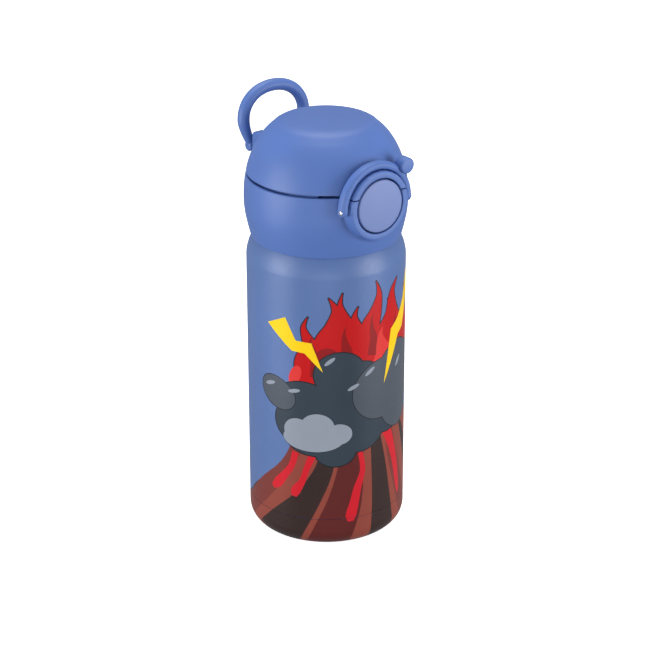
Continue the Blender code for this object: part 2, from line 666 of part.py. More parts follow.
def make_lock_bail(parent):
    """An arch over the button, with round feet on the pins and a finger knob on its right."""
    middle = (BAIL_INNER + BAIL_OUTER) / 2
    half_width = (BAIL_OUTER - BAIL_INNER) / 2
    half_depth = BAIL_DEPTH / 2
    bm = bmesh.new()
    rings = []
    steps = 22
    section = [(-half_width, half_depth), (half_width, half_depth), (half_width, -half_depth * 0.5),
               (0.2 * half_width, -half_depth), (-half_width, -half_depth * 0.6)]
    for i in range(steps + 1):
        angle = math.pi * i / steps
        out = Vector((math.cos(angle), 0, math.sin(angle)))
        ring = []
        for across, depth in section:
            place = out * (middle + across) + Vector((0, depth - BAIL_DISTANCE, BUTTON_HEIGHT))
            ring.append(bm.verts.new(place))
        rings.append(ring)
    count = len(section)
    for a, b in zip(rings, rings[1:]):
        for k in range(count):
            bm.faces.new((a[k], a[(k + 1) % count], b[(k + 1) % count], b[k]))
    bm.faces.new(rings[0])
    bm.faces.new(rings[-1])
    bail = add_object("lock_bail", bm, "satin_blue_plastic", parent)
    pivot = (0, -BAIL_DISTANCE, BUTTON_HEIGHT)
    for side in (-1, 1):
        name = "left" if side < 0 else "right"
        foot = rod(half_depth, BAIL_INNER, BAIL_OUTER, (side, 0, 0), pivot, steps=20)
        combine(bail, add_object(f"bail_foot_{name}", foot), "UNION")
    knob_centre = (KNOB_REACH * math.cos(KNOB_ANGLE), 0,
                   BUTTON_HEIGHT + KNOB_REACH * math.sin(KNOB_ANGLE))
    knob = rod(KNOB_RADIUS, BAIL_DISTANCE - 1.6 * MM, HOUSING_FACE, (0, -1, 0), knob_centre, steps=20)
    combine(bail, add_object("bail_knob", knob), "UNION")
    hole = rod(PIN_RADIUS + GAP, -22 * MM, 22 * MM, (1, 0, 0), pivot)
    combine(bail, add_object("bail_hole", hole), "DIFFERENCE")
    return bail


# ---- Carry loop ----

def loop_path():
    """Half of the loop's middle line from its foot to its top, as (across, up)."""
    points = []
    for i in range(6):
        up = LOOP_WIDEST * i / 6
        bend = (LOOP_HALF_WIDTH - LOOP_FOOT) * (1 - up / LOOP_WIDEST)**1.6
        points.append((LOOP_HALF_WIDTH - bend, up))
    for i in range(10):
        angle = math.pi / 2 * i / 9
        points.append((LOOP_HALF_WIDTH * math.cos(angle)**0.94,
                       LOOP_WIDEST + (LOOP_RISE - LOOP_WIDEST) * math.sin(angle)**0.94))
    return points


def make_carry_loop(parent):
    half = loop_path()
    line = [(x, up) for x, up in half] + [(-x, up) for x, up in half[-2::-1]]
    path = []
    radii = []
    for x, up in line:
        path.append(Vector((x, LOOP_DISTANCE + up * math.sin(LOOP_LEAN),
                            LOOP_HEIGHT + up * math.cos(LOOP_LEAN))))
        radii.append(LOOP_THIN + (LOOP_THICK - LOOP_THIN) * min(up / LOOP_WIDEST, 1))
    loop = add_object("carry_loop", tube_along(path, radii, 12), "satin_blue_plastic", parent)
    centre = (0, LOOP_DISTANCE, LOOP_HEIGHT)
    for side in (-1, 1):
        name = "left" if side < 0 else "right"
        eye = rod(EYE_RADIUS, EYE_INNER, EYE_OUTER, (side, 0, 0), centre, steps=20)
        combine(loop, add_object(f"loop_eye_{name}", eye), "UNION")
    trim = rod(8 * MM, -EYE_INNER, EYE_INNER, (1, 0, 0), centre)
    combine(loop, add_object("loop_inner_trim", trim), "DIFFERENCE")
    hole = rod(PIN_RADIUS + GAP, -20 * MM, 20 * MM, (1, 0, 0), centre)
    combine(loop, add_object("loop_hole", hole), "DIFFERENCE")
    return loop


def add_empty(name, location, parent=None):
    empty = bpy.data.objects.new(name, None)
    empty.location = location
    bpy.context.collection.objects.link(empty)
    if parent is not None:
        empty.parent = parent
        empty.matrix_parent_inverse = Matrix.Translation(-parent.location)
    return empty


def main():
    for old in list(bpy.data.objects):
        bpy.data.objects.remove(old, do_unlink=True)
    bottle = add_empty("bottle_group", (0, 0, 0))
    riser = add_empty("riser_group", (0, 0, 0), bottle)
    lid = add_empty("lid_group", (0, 0, 0), riser)
    cap = add_empty("cap_group", (0, HINGE_DISTANCE, HINGE_HEIGHT), lid)
    button = add_empty("button_group", (0, -BUTTON_FACE, BUTTON_HEIGHT), lid)
    bail = add_empty("bail_group", (0, -BAIL_DISTANCE, BUTTON_HEIGHT), lid)
    handle = add_empty("handle_group", (0, LOOP_DISTANCE, LOOP_HEIGHT), cap)
    for make in (make_outer_shell, make_bottom_shell, make_inner_liner, make_vacuum_getter):
        make(bottle)
    for make in (make_straw, make_mouth_gasket):
        make(riser)
    for make in (make_collar_shell, make_thread_insert, make_upper_bezel, make_spout_socket,
                 make_spout, make_vent_valve, make_hinge_pin, make_hinge_spring,
                 make_button_spring, make_bail_pins):
        make(lid)
    for make in (make_cap_shell, make_cap_liner, make_cap_seal, make_handle_pins):
        make(cap)
    for make in (make_push_button, make_latch_hook):
        make(button)
    make_lock_bail(bail)
    make_carry_loop(handle)


main()
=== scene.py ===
"""Looks of a kids' insulated straw bottle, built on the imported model's frame.

Laid out as an add-on and run as a script. Lengths are metres. The base stands on z = 0, the push
button faces -Y and the cap's hinge is at +Y.
"""

import math

import bmesh
import bpy
import numpy as np
from bpy.props import FloatProperty, FloatVectorProperty, PointerProperty
from mathutils import Matrix, Vector
from mathutils.geometry import delaunay_2d_cdt


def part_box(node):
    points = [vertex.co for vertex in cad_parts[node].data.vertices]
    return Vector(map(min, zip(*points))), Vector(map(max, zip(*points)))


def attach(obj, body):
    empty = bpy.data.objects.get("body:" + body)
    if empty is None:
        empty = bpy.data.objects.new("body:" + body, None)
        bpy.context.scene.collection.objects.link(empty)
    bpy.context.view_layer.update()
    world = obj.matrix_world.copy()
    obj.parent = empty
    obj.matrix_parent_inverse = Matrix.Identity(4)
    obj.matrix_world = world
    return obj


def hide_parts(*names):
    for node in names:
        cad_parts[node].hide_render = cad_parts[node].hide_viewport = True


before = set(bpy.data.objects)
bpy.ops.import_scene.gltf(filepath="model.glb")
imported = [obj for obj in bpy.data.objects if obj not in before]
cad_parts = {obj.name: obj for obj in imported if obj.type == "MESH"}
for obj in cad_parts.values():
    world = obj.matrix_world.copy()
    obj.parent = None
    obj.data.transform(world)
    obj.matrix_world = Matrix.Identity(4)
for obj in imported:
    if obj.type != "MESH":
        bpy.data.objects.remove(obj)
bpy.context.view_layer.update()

bl_info = {
    "name": "Straw Bottle",
    "version": (1, 0, 0),
    "blender": (4, 5, 0),
    "location": "View3D > Sidebar > Bottle",
    "description": "Builds the looks of a kids' insulated straw bottle on its packed frame",
    "category": "Object",
}

MM = 0.001
COLUMNS = 160               # round the axis, on the body and the lid
HALF_TURN = COLUMNS // 2
GAP = 0.3 * MM

BODY_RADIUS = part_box("outer_shell")[1].x
SEAM = (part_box("bottom_shell")[1].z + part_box("outer_shell")[0].z) / 2
BASE_FILLET = 8.3 * MM
SHOULDER = (129 * MM, 143 * MM)
NECK_RADIUS = 27 * MM
NECK_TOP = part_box("outer_shell")[1].z
COLLAR_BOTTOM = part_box("collar_shell")[0].z
COLLAR_TOP = 165.8 * MM
CAP_BOTTOM = 166.9 * MM
SPLIT = 166.1 * MM          # where the collar's button housing ends under the bezel
CAP_WALL = 2 * MM
EDGE_ROUND = 0.35 * MM      # fillet on the collar's fine edges and knuckles

BUTTON_HEIGHT = (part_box("push_button")[0].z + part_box("push_button")[1].z) / 2
BUTTON_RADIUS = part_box("push_button")[1].x
HOUSING_FACE = -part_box("upper_bezel")[0].y
HOUSING_RADIUS = 15 * MM
HOUSING_BORE = 12.2 * MM
HOUSING_BACK = 31.3 * MM
HOUSING_ROUND = 0.7 * MM    # fillet on the housing's outer edge
BAIL_DISTANCE = 34.5 * MM   # from the axis to the bail's pins, towards -Y
BAIL_MIDDLE = 17.1 * MM     # from the pins' height to the middle of the bail's arch
HINGE = Vector((0, 36.5 * MM, 165.5 * MM))
LOOP_PIVOT = Vector((0, 37.2 * MM, 170.5 * MM))
FACING = math.radians(37)   # from -Y towards -X, the side that the print and the camera face


# ---- Outlines ----

def mm(pairs):
    return [(first * MM, second * MM) for first, second in pairs]


LID_SIDE = mm([(32.84, 138.1), (34.3, 144), (35.4, 150), (35.7, 156), (35.1, 164),
               (33.2, 172), (29.5, 180), (24.6, 186), (19.5, 189.5)])


def lid_radius(height):
    """Radius of the lid's side at a height, on a smooth curve through the points of its outline."""
    points = [LID_SIDE[0]] + LID_SIDE + [LID_SIDE[-1]]
    last = len(points) - 3
    for i in range(1, last + 1):
        (r0, z0), (r1, z1), (r2, z2), (r3, z3) = points[i - 1:i + 3]
        if height <= z2 or i == last:
            t = (height - z1) / (z2 - z1)
            enter = (r2 - r0) / max(z2 - z0, MM) * (z2 - z1)
            leave = (r3 - r1) / max(z3 - z1, MM) * (z2 - z1)
            return ((2 * t**3 - 3 * t**2 + 1) * r1 + (t**3 - 2 * t**2 + t) * enter
                    + (3 * t**2 - 2 * t**3) * r2 + (t**3 - t**2) * leave)


def dome_outline():
    """The cap's side and crown, as (radius, height) from its lower edge to the axis."""
    points = []
    height = CAP_BOTTOM + 0.35 * MM
    while height < 187.2 * MM:
        points.append((lid_radius(height), height))
        height += 0.9 * MM
    points += mm([(22.4, 188.0), (21.3, 188.72), (20.2, 189.28), (19, 189.7), (17.6, 189.99),
                  (15.5, 190.22), (12.5, 190.42), (9, 190.57), (5, 190.67), (1.5, 190.7)])
    return points


def inset_outline(points, depth):
    """An outline moved inwards, square to itself."""
    moved = []
    for i, (r, z) in enumerate(points):
        before = points[max(i - 1, 0)]
        after = points[min(i + 1, len(points) - 1)]
        along = Vector((after[0] - before[0], after[1] - before[1])).normalized()
        moved.append((max(r - depth * along.y, 0.3 * MM), z + depth * along.x))
    return moved


def body_outline(along):
    """Radius, height and the normal's two parts at a distance along the body, which is the height
    above the base fillet, and goes on round the fillet below it."""
    if along < BASE_FILLET:
        angle = min((BASE_FILLET - along) / BASE_FILLET, math.pi / 2)
        middle = BODY_RADIUS - BASE_FILLET
        return (middle + BASE_FILLET * math.cos(angle), BASE_FILLET * (1 - math.sin(angle)),
                math.cos(angle), -math.sin(angle))
    if along <= SHOULDER[0]:
        return BODY_RADIUS, along, 1, 0
    power = 1.6
    drop = BODY_RADIUS - NECK_RADIUS
    rise = SHOULDER[1] - SHOULDER[0]
    share = min((along - SHOULDER[0]) / rise, 0.98)
    across = (1 - share**power) ** (1 / power)
    slope = -drop * across ** (1 - power) * share ** (power - 1) / rise
    normal = Vector((1, -slope)).normalized()
    return NECK_RADIUS + drop * across, along, normal.x, normal.y


# ---- Mesh helpers ----

def around(radius, height, angle):
    """A point round the axis; the angle starts at -Y and grows towards +X."""
    return Vector((radius * math.sin(angle), -radius * math.cos(angle), height))


def column_angle(column):
    return math.tau * (column - HALF_TURN) / COLUMNS


def add_ring(bm, points):
    return [bm.verts.new(point) for point in points]


def join_rings(bm, first, second, closed=True):
    count = len(first)
    for i in range(count if closed else count - 1):
        j = (i + 1) % count
        bm.faces.new((first[i], first[j], second[j], second[i]))


def join_all(bm, rings, closed=True):
    """Join each ring to the next one."""
    for first, second in zip(rings, rings[1:]):
        join_rings(bm, first, second, closed)


def turned_rings(bm, outline):
    """Rings round the bottle's axis through (radius, height) points."""
    return [add_ring(bm, [around(radius, height, column_angle(column)) for column in range(COLUMNS)])
            for radius, height in outline]


def swept(bm, stations):
    """Join rings of points one after another, with a face over each end."""
    rings = [add_ring(bm, points) for points in stations]
    join_all(bm, rings)
    bm.faces.new(rings[0])
    bm.faces.new(rings[-1])


def spun(bm, outline, columns, matrix):
    """A solid of rings round Z through (radius, height) points, set in place by a matrix."""
    swept(bm, [[matrix @ around(radius, height, math.tau * k / columns) for k in range(columns)]
               for radius, height in outline])


def laid_along(axis, centre):
    """The matrix that lays a solid made round Z along another axis."""
    turn = Vector((0, 0, 1)).rotation_difference(Vector(axis)).to_matrix().to_4x4()
    return Matrix.Translation(centre) @ turn


def rounded_rod(bm, radius, low, high, axis, centre, edge, columns):
    """A rod with rounded ends, between two distances along an axis."""
    corner = [(radius - edge * (1 - math.sin(a)), math.cos(a))
              for a in (0, math.pi / 6, math.pi / 3, math.pi / 2)]
    outline = [(r, low + edge * (1 - c)) for r, c in corner]
    outline += [(r, high - edge * (1 - c)) for r, c in reversed(corner)]
    spun(bm, outline, columns, laid_along(axis, centre))


def mesh_of(name, bm):
    """The mesh of a bmesh, which is freed."""
    mesh = bpy.data.meshes.new(name)
    bm.to_mesh(mesh)
    bm.free()
    return mesh


def smooth_mesh(name, bm, crease):
    """The smooth mesh of a bmesh, with sharp edges above an angle in degrees."""
    bmesh.ops.recalc_face_normals(bm, faces=bm.faces)
    mesh = mesh_of(name, bm)
    mesh.shade_smooth()
    mesh.set_sharp_from_angle(angle=math.radians(crease))
    return mesh


def add_object(name, data):
    thing = bpy.data.objects.new(name, data)
    bpy.context.collection.objects.link(thing)
    return thing


def arc(centre, radius, start, sweep, steps):
    """Points in Y and Z on an arc, whose start and sweep are in degrees."""
    angles = [math.radians(start + sweep * i / steps) for i in range(steps + 1)]
    return [(centre.y + radius * math.cos(a), centre.z + radius * math.sin(a)) for a in angles]


def bevelled_block(bm, outline, low, high, width, segments=3):
    """An outline in Y and Z, extruded along X, with rounded edges."""
    part = bmesh.new()
    face = part.faces.new([part.verts.new((low, y, z)) for y, z in outline])
    moved = bmesh.ops.extrude_face_region(part, geom=[face])["geom"]
    ends = [v for v in moved if isinstance(v, bmesh.types.BMVert)]
    bmesh.ops.translate(part, vec=(high - low, 0, 0), verts=ends)
    bmesh.ops.recalc_face_normals(part, faces=part.faces)
    bmesh.ops.bevel(part, geom=part.edges[:] + part.verts[:], offset=width, segments=segments,
                    profile=0.5, affect="EDGES", clamp_overlap=True)
    mesh = mesh_of("part", part)
    bm.from_mesh(mesh)
    bpy.data.meshes.remove(mesh)


def fill_open_edges(bm, low, high):
    """Close the flat opening whose edges all lie between two heights."""
    edges = [e for e in bm.edges if e.is_boundary
             and all(low < v.co.z < high for v in e.verts)]
    bmesh.ops.triangle_fill(bm, edges=edges, use_beauty=True, normal=(0, 0, 1))


def make_piece(name, bm, material, body, nodes, crease=32):
    """Make a piece of a bmesh, in the place of CAD nodes, and let it ride on its body."""
    bmesh.ops.remove_doubles(bm, verts=bm.verts, dist=1e-7)
    piece = add_object(name, smooth_mesh(name, bm, crease))
    piece.data.materials.append(material)
    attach(piece, body)
    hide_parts(*nodes)
    return piece


# ---- Materials ----

def linear(colour):
    """Blender's linear colour from the colour as seen on a screen, 0 to 255."""
    return tuple(((c / 255 + 0.055) / 1.055) ** 2.4 if c > 10 else c / 255 / 12.92 for c in colour)


FINISHES = {}               # the materials made so far, by name


def set_inputs(node, values):
    """Give a node's own sockets their values, by name."""
    for name, value in values.items():
        node.inputs[name].default_value = value


def grained(name, colour, roughness, metallic=0.0, spread=0.06, grain=900.0, bump=0.05,
            subsurface=0.0, transmission=0.0, specular=0.5, stretch=(1, 1, 1)):
    """A finish with fine surface grain, and slow changes of tone and of gloss across it."""
    if name in FINISHES:
        return FINISHES[name]
    material = bpy.data.materials.new(name)
    FINISHES[name] = material
    material.use_nodes = True
    nodes = material.node_tree.nodes
    links = material.node_tree.links
    shader = nodes["Principled BSDF"]
    set_inputs(shader, {"Metallic": metallic, "Specular IOR Level": specular,
                        "Subsurface Weight": subsurface, "Subsurface Scale": 0.002,
                        "Transmission Weight": transmission})
    place = nodes.new("ShaderNodeTexCoord")
    scaled = nodes.new("ShaderNodeMapping")
    set_inputs(scaled, {"Scale": stretch})
    links.new(place.outputs["Object"], scaled.inputs["Vector"])
    slow = nodes.new("ShaderNodeTexNoise")
    set_inputs(slow, {"Scale": 40, "Detail": 3})
    fine = nodes.new("ShaderNodeTexNoise")
    set_inputs(fine, {"Scale": grain, "Detail": 2})
    for noise in (slow, fine):
        links.new(scaled.outputs["Vector"], noise.inputs["Vector"])
    tone = nodes.new("ShaderNodeValToRGB")
    for element, position, level in zip(tone.color_ramp.elements, (0.3, 0.7),
                                        (1 - spread, 1 + spread)):
        element.position = position
        element.color = (*[min(c * level, 1) for c in colour], 1)
    links.new(slow.outputs["Fac"], tone.inputs["Fac"])
    links.new(tone.outputs["Color"], shader.inputs["Base Color"])
    gloss = nodes.new("ShaderNodeMapRange")
    set_inputs(gloss, {"From Min": 0.3, "From Max": 0.7, "To Min": max(roughness - 0.05, 0.02),
                       "To Max": roughness + 0.05})
    links.new(fine.outputs["Fac"], gloss.inputs["Value"])
    links.new(gloss.outputs["Result"], shader.inputs["Roughness"])
    relief = nodes.new("ShaderNodeBump")
    set_inputs(relief, {"Strength": bump, "Distance": 0.0004})
    links.new(fine.outputs["Fac"], relief.inputs["Height"])
    links.new(relief.outputs["Normal"], shader.inputs["Normal"])
    return material


def lid_plastic():
    lid = bpy.context.scene.bottle_lid
    return grained("lid_satin", lid.plastic_colour[:], lid.roughness, grain=1600, spread=0.03)


def button_plastic():
    lid = bpy.context.scene.bottle_lid
    return grained("button_satin", lid.button_colour[:], lid.roughness + 0.05, grain=1600, spread=0.03)


def polished_steel():
    return grained("polished_steel", (0.72, 0.72, 0.73), 0.16, metallic=1.0, grain=3000, bump=0.02,
                   spread=0.04)


def brushed_steel():
    return grained("brushed_steel", (0.60, 0.60, 0.61), 0.30, metallic=1.0, grain=500, bump=0.08,
                   spread=0.08, stretch=(1, 1, 14))


# ---- Print: flat shapes in millimetres, across the body and up it ----

def ellipse(across, up, width, height, tilt=0.0, points=40):
    turn = math.radians(tilt)
    shape = []
    for i in range(points):
        angle = math.tau * i / points
        x, y = width * math.cos(angle), height * math.sin(angle)
        shape.append((across + x * math.cos(turn) - y * math.sin(turn),
                      up + x * math.sin(turn) + y * math.cos(turn)))
    return shape


def curve_through(points, pieces=8):
    """Points on a smooth curve through a few given ones."""
    ends = [points[0]] + list(points) + [points[-1]]
    line = []
    for i in range(1, len(ends) - 2):
        a, b, c, d = (Vector(p) for p in ends[i - 1:i + 3])
        for k in range(pieces):
            t = k / pieces
            line.append(0.5 * ((2 * b) + (c - a) * t + (2 * a - 5 * b + 4 * c - d) * t**2
                               + (3 * b - a - 3 * c + d) * t**3))
    line.append(Vector(points[-1]))
    return line


def ribbon(points, widths, pieces=8):
    """A band along a smooth curve, whose half width runs through the given widths."""
    line = curve_through(points, pieces)
    across = curve_through([(w, 0) for w in widths], pieces * (len(points) - 1) // (len(widths) - 1))
    left, right = [], []
    for i, point in enumerate(line):
        ahead = line[min(i + 1, len(line) - 1)]
        behind = line[max(i - 1, 0)]
        along = (ahead - behind).normalized()
        side = Vector((-along.y, along.x)) * across[min(i, len(across) - 1)].x
        left.append(tuple(point + side))
        right.append(tuple(point - side))
    return left + right[::-1]


def tongue(base, tip, width, sway):
    """A tongue of flame, wide at its base and bent like an S on its way to a sharp tip."""
    base, tip = Vector(base), Vector(tip)
    up = tip - base
    side = Vector((up.y, -up.x)).normalized()
    points = [base + up * t + side * sway * math.sin(math.tau * t) * (0.4 + t) for t in
              (0, 0.2, 0.4, 0.6, 0.8, 0.92)] + [tip]
    widths = [width, width, width * 0.82, width * 0.52, width * 0.25, width * 0.1, 0.05]
    return ribbon([tuple(p) for p in points], widths, 6)


def turning(shape):
    """Above zero if the points of a shape go round it anticlockwise."""
    return sum(x0 * y1 - x1 * y0 for (x0, y0), (x1, y1) in zip(shape, shape[1:] + shape[:1]))


def grown(shape, by):
    """A shape with its edge moved outwards."""
    count = len(shape)
    sign = 1 if turning(shape) > 0 else -1
    moved = []
    for i in range(count):
        before, here, after = (Vector(shape[(i + k) % count]) for k in (-1, 0, 1))
        into, out = here - before, after - here
        if into.length < 1e-6 or out.length < 1e-6:
            moved.append(tuple(here))
            continue
        into, out = into.normalized(), out.normalized()
        first, second = Vector((into.y, -into.x)) * sign, Vector((out.y, -out.x)) * sign
        middle = first + second
        if middle.length < 0.2:
            middle = into
        middle.normalize()
        reach = by / max(middle.dot(first), 0.45)
        moved.append(tuple(here + middle * reach))
    return moved


def drawn(shapes, ink, line=0.5):
    """Shapes of one ink with a dark line round their common outline."""
    return [("ink_line", grown(shape, line)) for shape in shapes] + [(ink, shape) for shape in shapes]


def volcano_art():
    """The slopes, with darker gullies and streams of lava, all the way round the body."""
    art = []
    slope = curve_through([(-110, 9), (-70, 10), (-50, 14), (-38, 24), (-27, 33), (-17, 46),
                           (-10, 62), (-6, 80), (20, 84), (36, 70), (50, 56), (66, 40), (88, 20),
                           (110, 9)], 8)
    foot = [(110, -1.2), (-110, -1.2)]
    mountain = [tuple(p) for p in slope] + foot
    art += drawn([mountain], "ink_brown")
    art.append(("ink_russet", ribbon([(-8, 66), (-17, 42), (-30, 26), (-47, 9), (-60, -1)],
                                     [2, 3, 4.5, 5, 8])))
    art.append(("ink_umber", ribbon([(2, 60), (-1, 40), (-9, 24), (-19, 10), (-27, -0.8)],
                                    [3, 4, 6, 9, 11])))
    art.append(("ink_maroon", ribbon([(12, 62), (11, 40), (8, 22), (3, 8), (0, -0.8)],
                                     [4, 6, 8, 9, 10])))
    art.append(("ink_umber", ribbon([(22, 60), (25, 40), (27, 22), (28, 8), (28, -0.8)],
                                    [2, 4, 5.5, 7, 8])))
    art.append(("ink_russet", ribbon([(30, 60), (34, 42), (40, 24), (47, 8), (50, -0.8)],
                                     [2, 3.5, 4, 5, 6])))
    art.append(("ink_umber", ribbon([(40, 56), (50, 36), (62, 18), (74, 4), (76, -0.8)],
                                    [1, 3, 4, 5, 6])))
    art.append(("ink_maroon", ribbon([(-60, 6), (-72, 4), (-90, 2), (-104, 0)], [1, 2, 2, 1])))
    art += drawn([ribbon([(-14, 47), (-16, 40), (-20, 34), (-23, 30), (-26, 27)],
                         [1.6, 1.5, 1.9, 2.3, 1.2]),
                  ribbon([(-6, 47), (-9, 39), (-11, 33), (-14, 28), (-15, 25)],
                         [1.8, 1.4, 1.5, 2.2, 1.2])], "ink_lava", 0.0)
    art.append(("ink_lava", ribbon([(15, 48), (16.5, 38), (14, 29), (12.5, 22), (11, 16), (11, 13)],
                                   [1.2, 1.3, 1.9, 2.2, 2.5, 1.2])))
    art.append(("ink_lava", ribbon([(29, 56), (34, 44), (37, 34), (39, 24), (40, 18)],
                                   [3, 2.2, 2, 1.6, 0.6])))
    art.append(("ink_lava", ribbon([(52, 50), (60, 38), (66, 28), (74, 20)], [1.4, 2, 1.5, 0.5])))
    return art


def flame_art():
    """Tongues of flame over the crater."""
    back = [tongue((30, 92), (37, 124), 7, 2.2), tongue((20, 92), (23, 126), 6, -2.0),
            tongue((-5, 86), (-8, 112), 4.6, 2.2), tongue((11, 94), (7, 123), 4.6, 1.6),
            tongue((44, 84), (51, 112), 7, 2.4), tongue((37, 90), (45, 118), 5, -2.0)]
    front = [tongue((4, 86), (1, 121), 8.5, -2.4), tongue((15, 92), (14, 116), 5.0, 1.6),
             tongue((26, 90), (30, 116), 5.6, -1.4)]
    mass = [ellipse(15, 88, 24, 18), ellipse(33, 84, 20, 18), ellipse(-3, 88, 11, 12, 30)]
    art = drawn(back + front + mass, "ink_red")
    for base, tip, width in (((-4, 84), (-6, 104), 3.2), ((8, 88), (9, 108), 3.0),
                             ((21, 92), (22, 112), 2.4), ((35, 88), (37, 108), 3.0)):
        art.append(("ink_deep_red", tongue(base, tip, width, 1.0)))
    art.append(("ink_deep_red", ellipse(1, 90, 6.5, 8, 20)))
    art.append(("ink_scarlet", tongue((27, 84), (27, 104), 6, 1.2)))
    art.append(("ink_scarlet", ellipse(-14, 84, 2.6, 5, -20)))
    return art


def smoke_art():
    """Round clouds of smoke, the nearest ones lighter."""
    rear = [ellipse(6, 85, 11.5, 10.5), ellipse(16, 82, 9, 8), ellipse(-9, 70, 14, 11, -16),
            ellipse(4, 66, 16, 14), ellipse(14, 58, 14, 11), ellipse(-14, 62, 10, 10),
            ellipse(-4, 55, 15, 9), ellipse(4, 47.5, 9, 6.5), ellipse(30, 62, 12, 9)]
    art = drawn(rear, "ink_slate")
    art += drawn([ellipse(-23, 74, 9.5, 7.0, -28)], "ink_ash", 0.36)
    art += drawn([ellipse(27, 75, 15.5, 14, 20), ellipse(38, 66, 12, 13, 10),
                  ellipse(46, 78, 11, 13), ellipse(36, 84, 12, 10, 24)], "ink_ash", 0.36)
    art += drawn([ellipse(-6, 54, 14, 6), ellipse(-13, 57.5, 6.5, 6), ellipse(-4, 60, 7.5, 6.5),
                  ellipse(5.5, 56.5, 6, 5)], "ink_pale_ash", 0.2)
    for across, up, lean in ((1.5, 91.5, 38), (-14.5, 76.5, 12), (12, 78.5, 24), (20, 84.5, 34),
                             (38.5, 84, 50), (-27, 77.5, 20)):
        art.append(("ink_pale_ash", ellipse(across, up, 2.9, 0.9, lean, 28)))
    return art


def bolt_art():
    """Two bolts of lightning that strike the smoke from both sides."""
    left = [(-28, 106), (-18.5, 110.5), (-13.5, 100.5), (-6.5, 100), (-1.5, 86.5), (-9.5, 95),
            (-15.5, 95.5)]
    right = [(49, 124), (53.5, 118), (43, 98.5), (38.5, 96.5), (28, 76.5), (32.5, 101), (38, 104.5),
             (44, 112)]
    far = [(-86, 112), (-78, 116), (-74, 104), (-68, 103.5), (-63, 88), (-72, 98), (-78, 98.5)]
    return [("ink_yellow", left), ("ink_yellow", right), ("ink_yellow", far)]


def far_side_art():
    """Smaller clouds round the back of the body."""
    shapes = [ellipse(76, 72, 9, 6), ellipse(84, 76, 8, 7), ellipse(92, 71, 9, 6),
              ellipse(-86, 66, 8, 6), ellipse(-78, 70, 8, 7), ellipse(-70, 65, 7, 5)]
    art = drawn(shapes, "ink_ash", 0.36)
    art += [("ink_pale_ash", ellipse(82, 77, 3, 2)), ("ink_pale_ash", ellipse(-80, 71, 3, 2))]
    return art


INKS = {
    "ink_line": (24, 24, 30), "ink_brown": (140, 66, 54), "ink_russet": (118, 52, 46),
    "ink_maroon": (92, 30, 30), "ink_umber": (50, 34, 32), "ink_lava": (204, 22, 40),
    "ink_red": (188, 4, 9), "ink_deep_red": (140, 8, 14), "ink_scarlet": (216, 52, 48),
    "ink_slate": (48, 60, 72), "ink_ash": (76, 83, 94), "ink_pale_ash": (142, 150, 164),
    "ink_yellow": (246, 204, 6),
}


def clipped(start, end, half, low, high):
    """The stretch of a straight line that lies on a sheet, or None."""
    change = end - start
    enter, leave = 0.0, 1.0
    for value, run, least, most in ((start.x, change.x, -half, half),
                                    (start.y, change.y, low, high)):
        if abs(run) < 1e-9:
            if not least <= value <= most:
                return None
            continue
        first, second = sorted(((least - value) / run, (most - value) / run))
        enter = max(enter, first)
        leave = min(leave, second)
    if enter >= leave:
        return None
    return start + change * enter, start + change * leave


def covered(shape, spots):
    """Which of the spots lie inside a shape."""
    turns = np.zeros(len(spots), int)
    x, y = spots[:, 0], spots[:, 1]
    for (x0, y0), (x1, y1) in zip(shape, shape[1:] + shape[:1]):
        side = (x1 - x0) * (y - y0) - (x - x0) * (y1 - y0)
        turns += (y0 <= y) & (y1 > y) & (side > 0)
        turns -= (y0 > y) & (y1 <= y) & (side < 0)
    return turns != 0


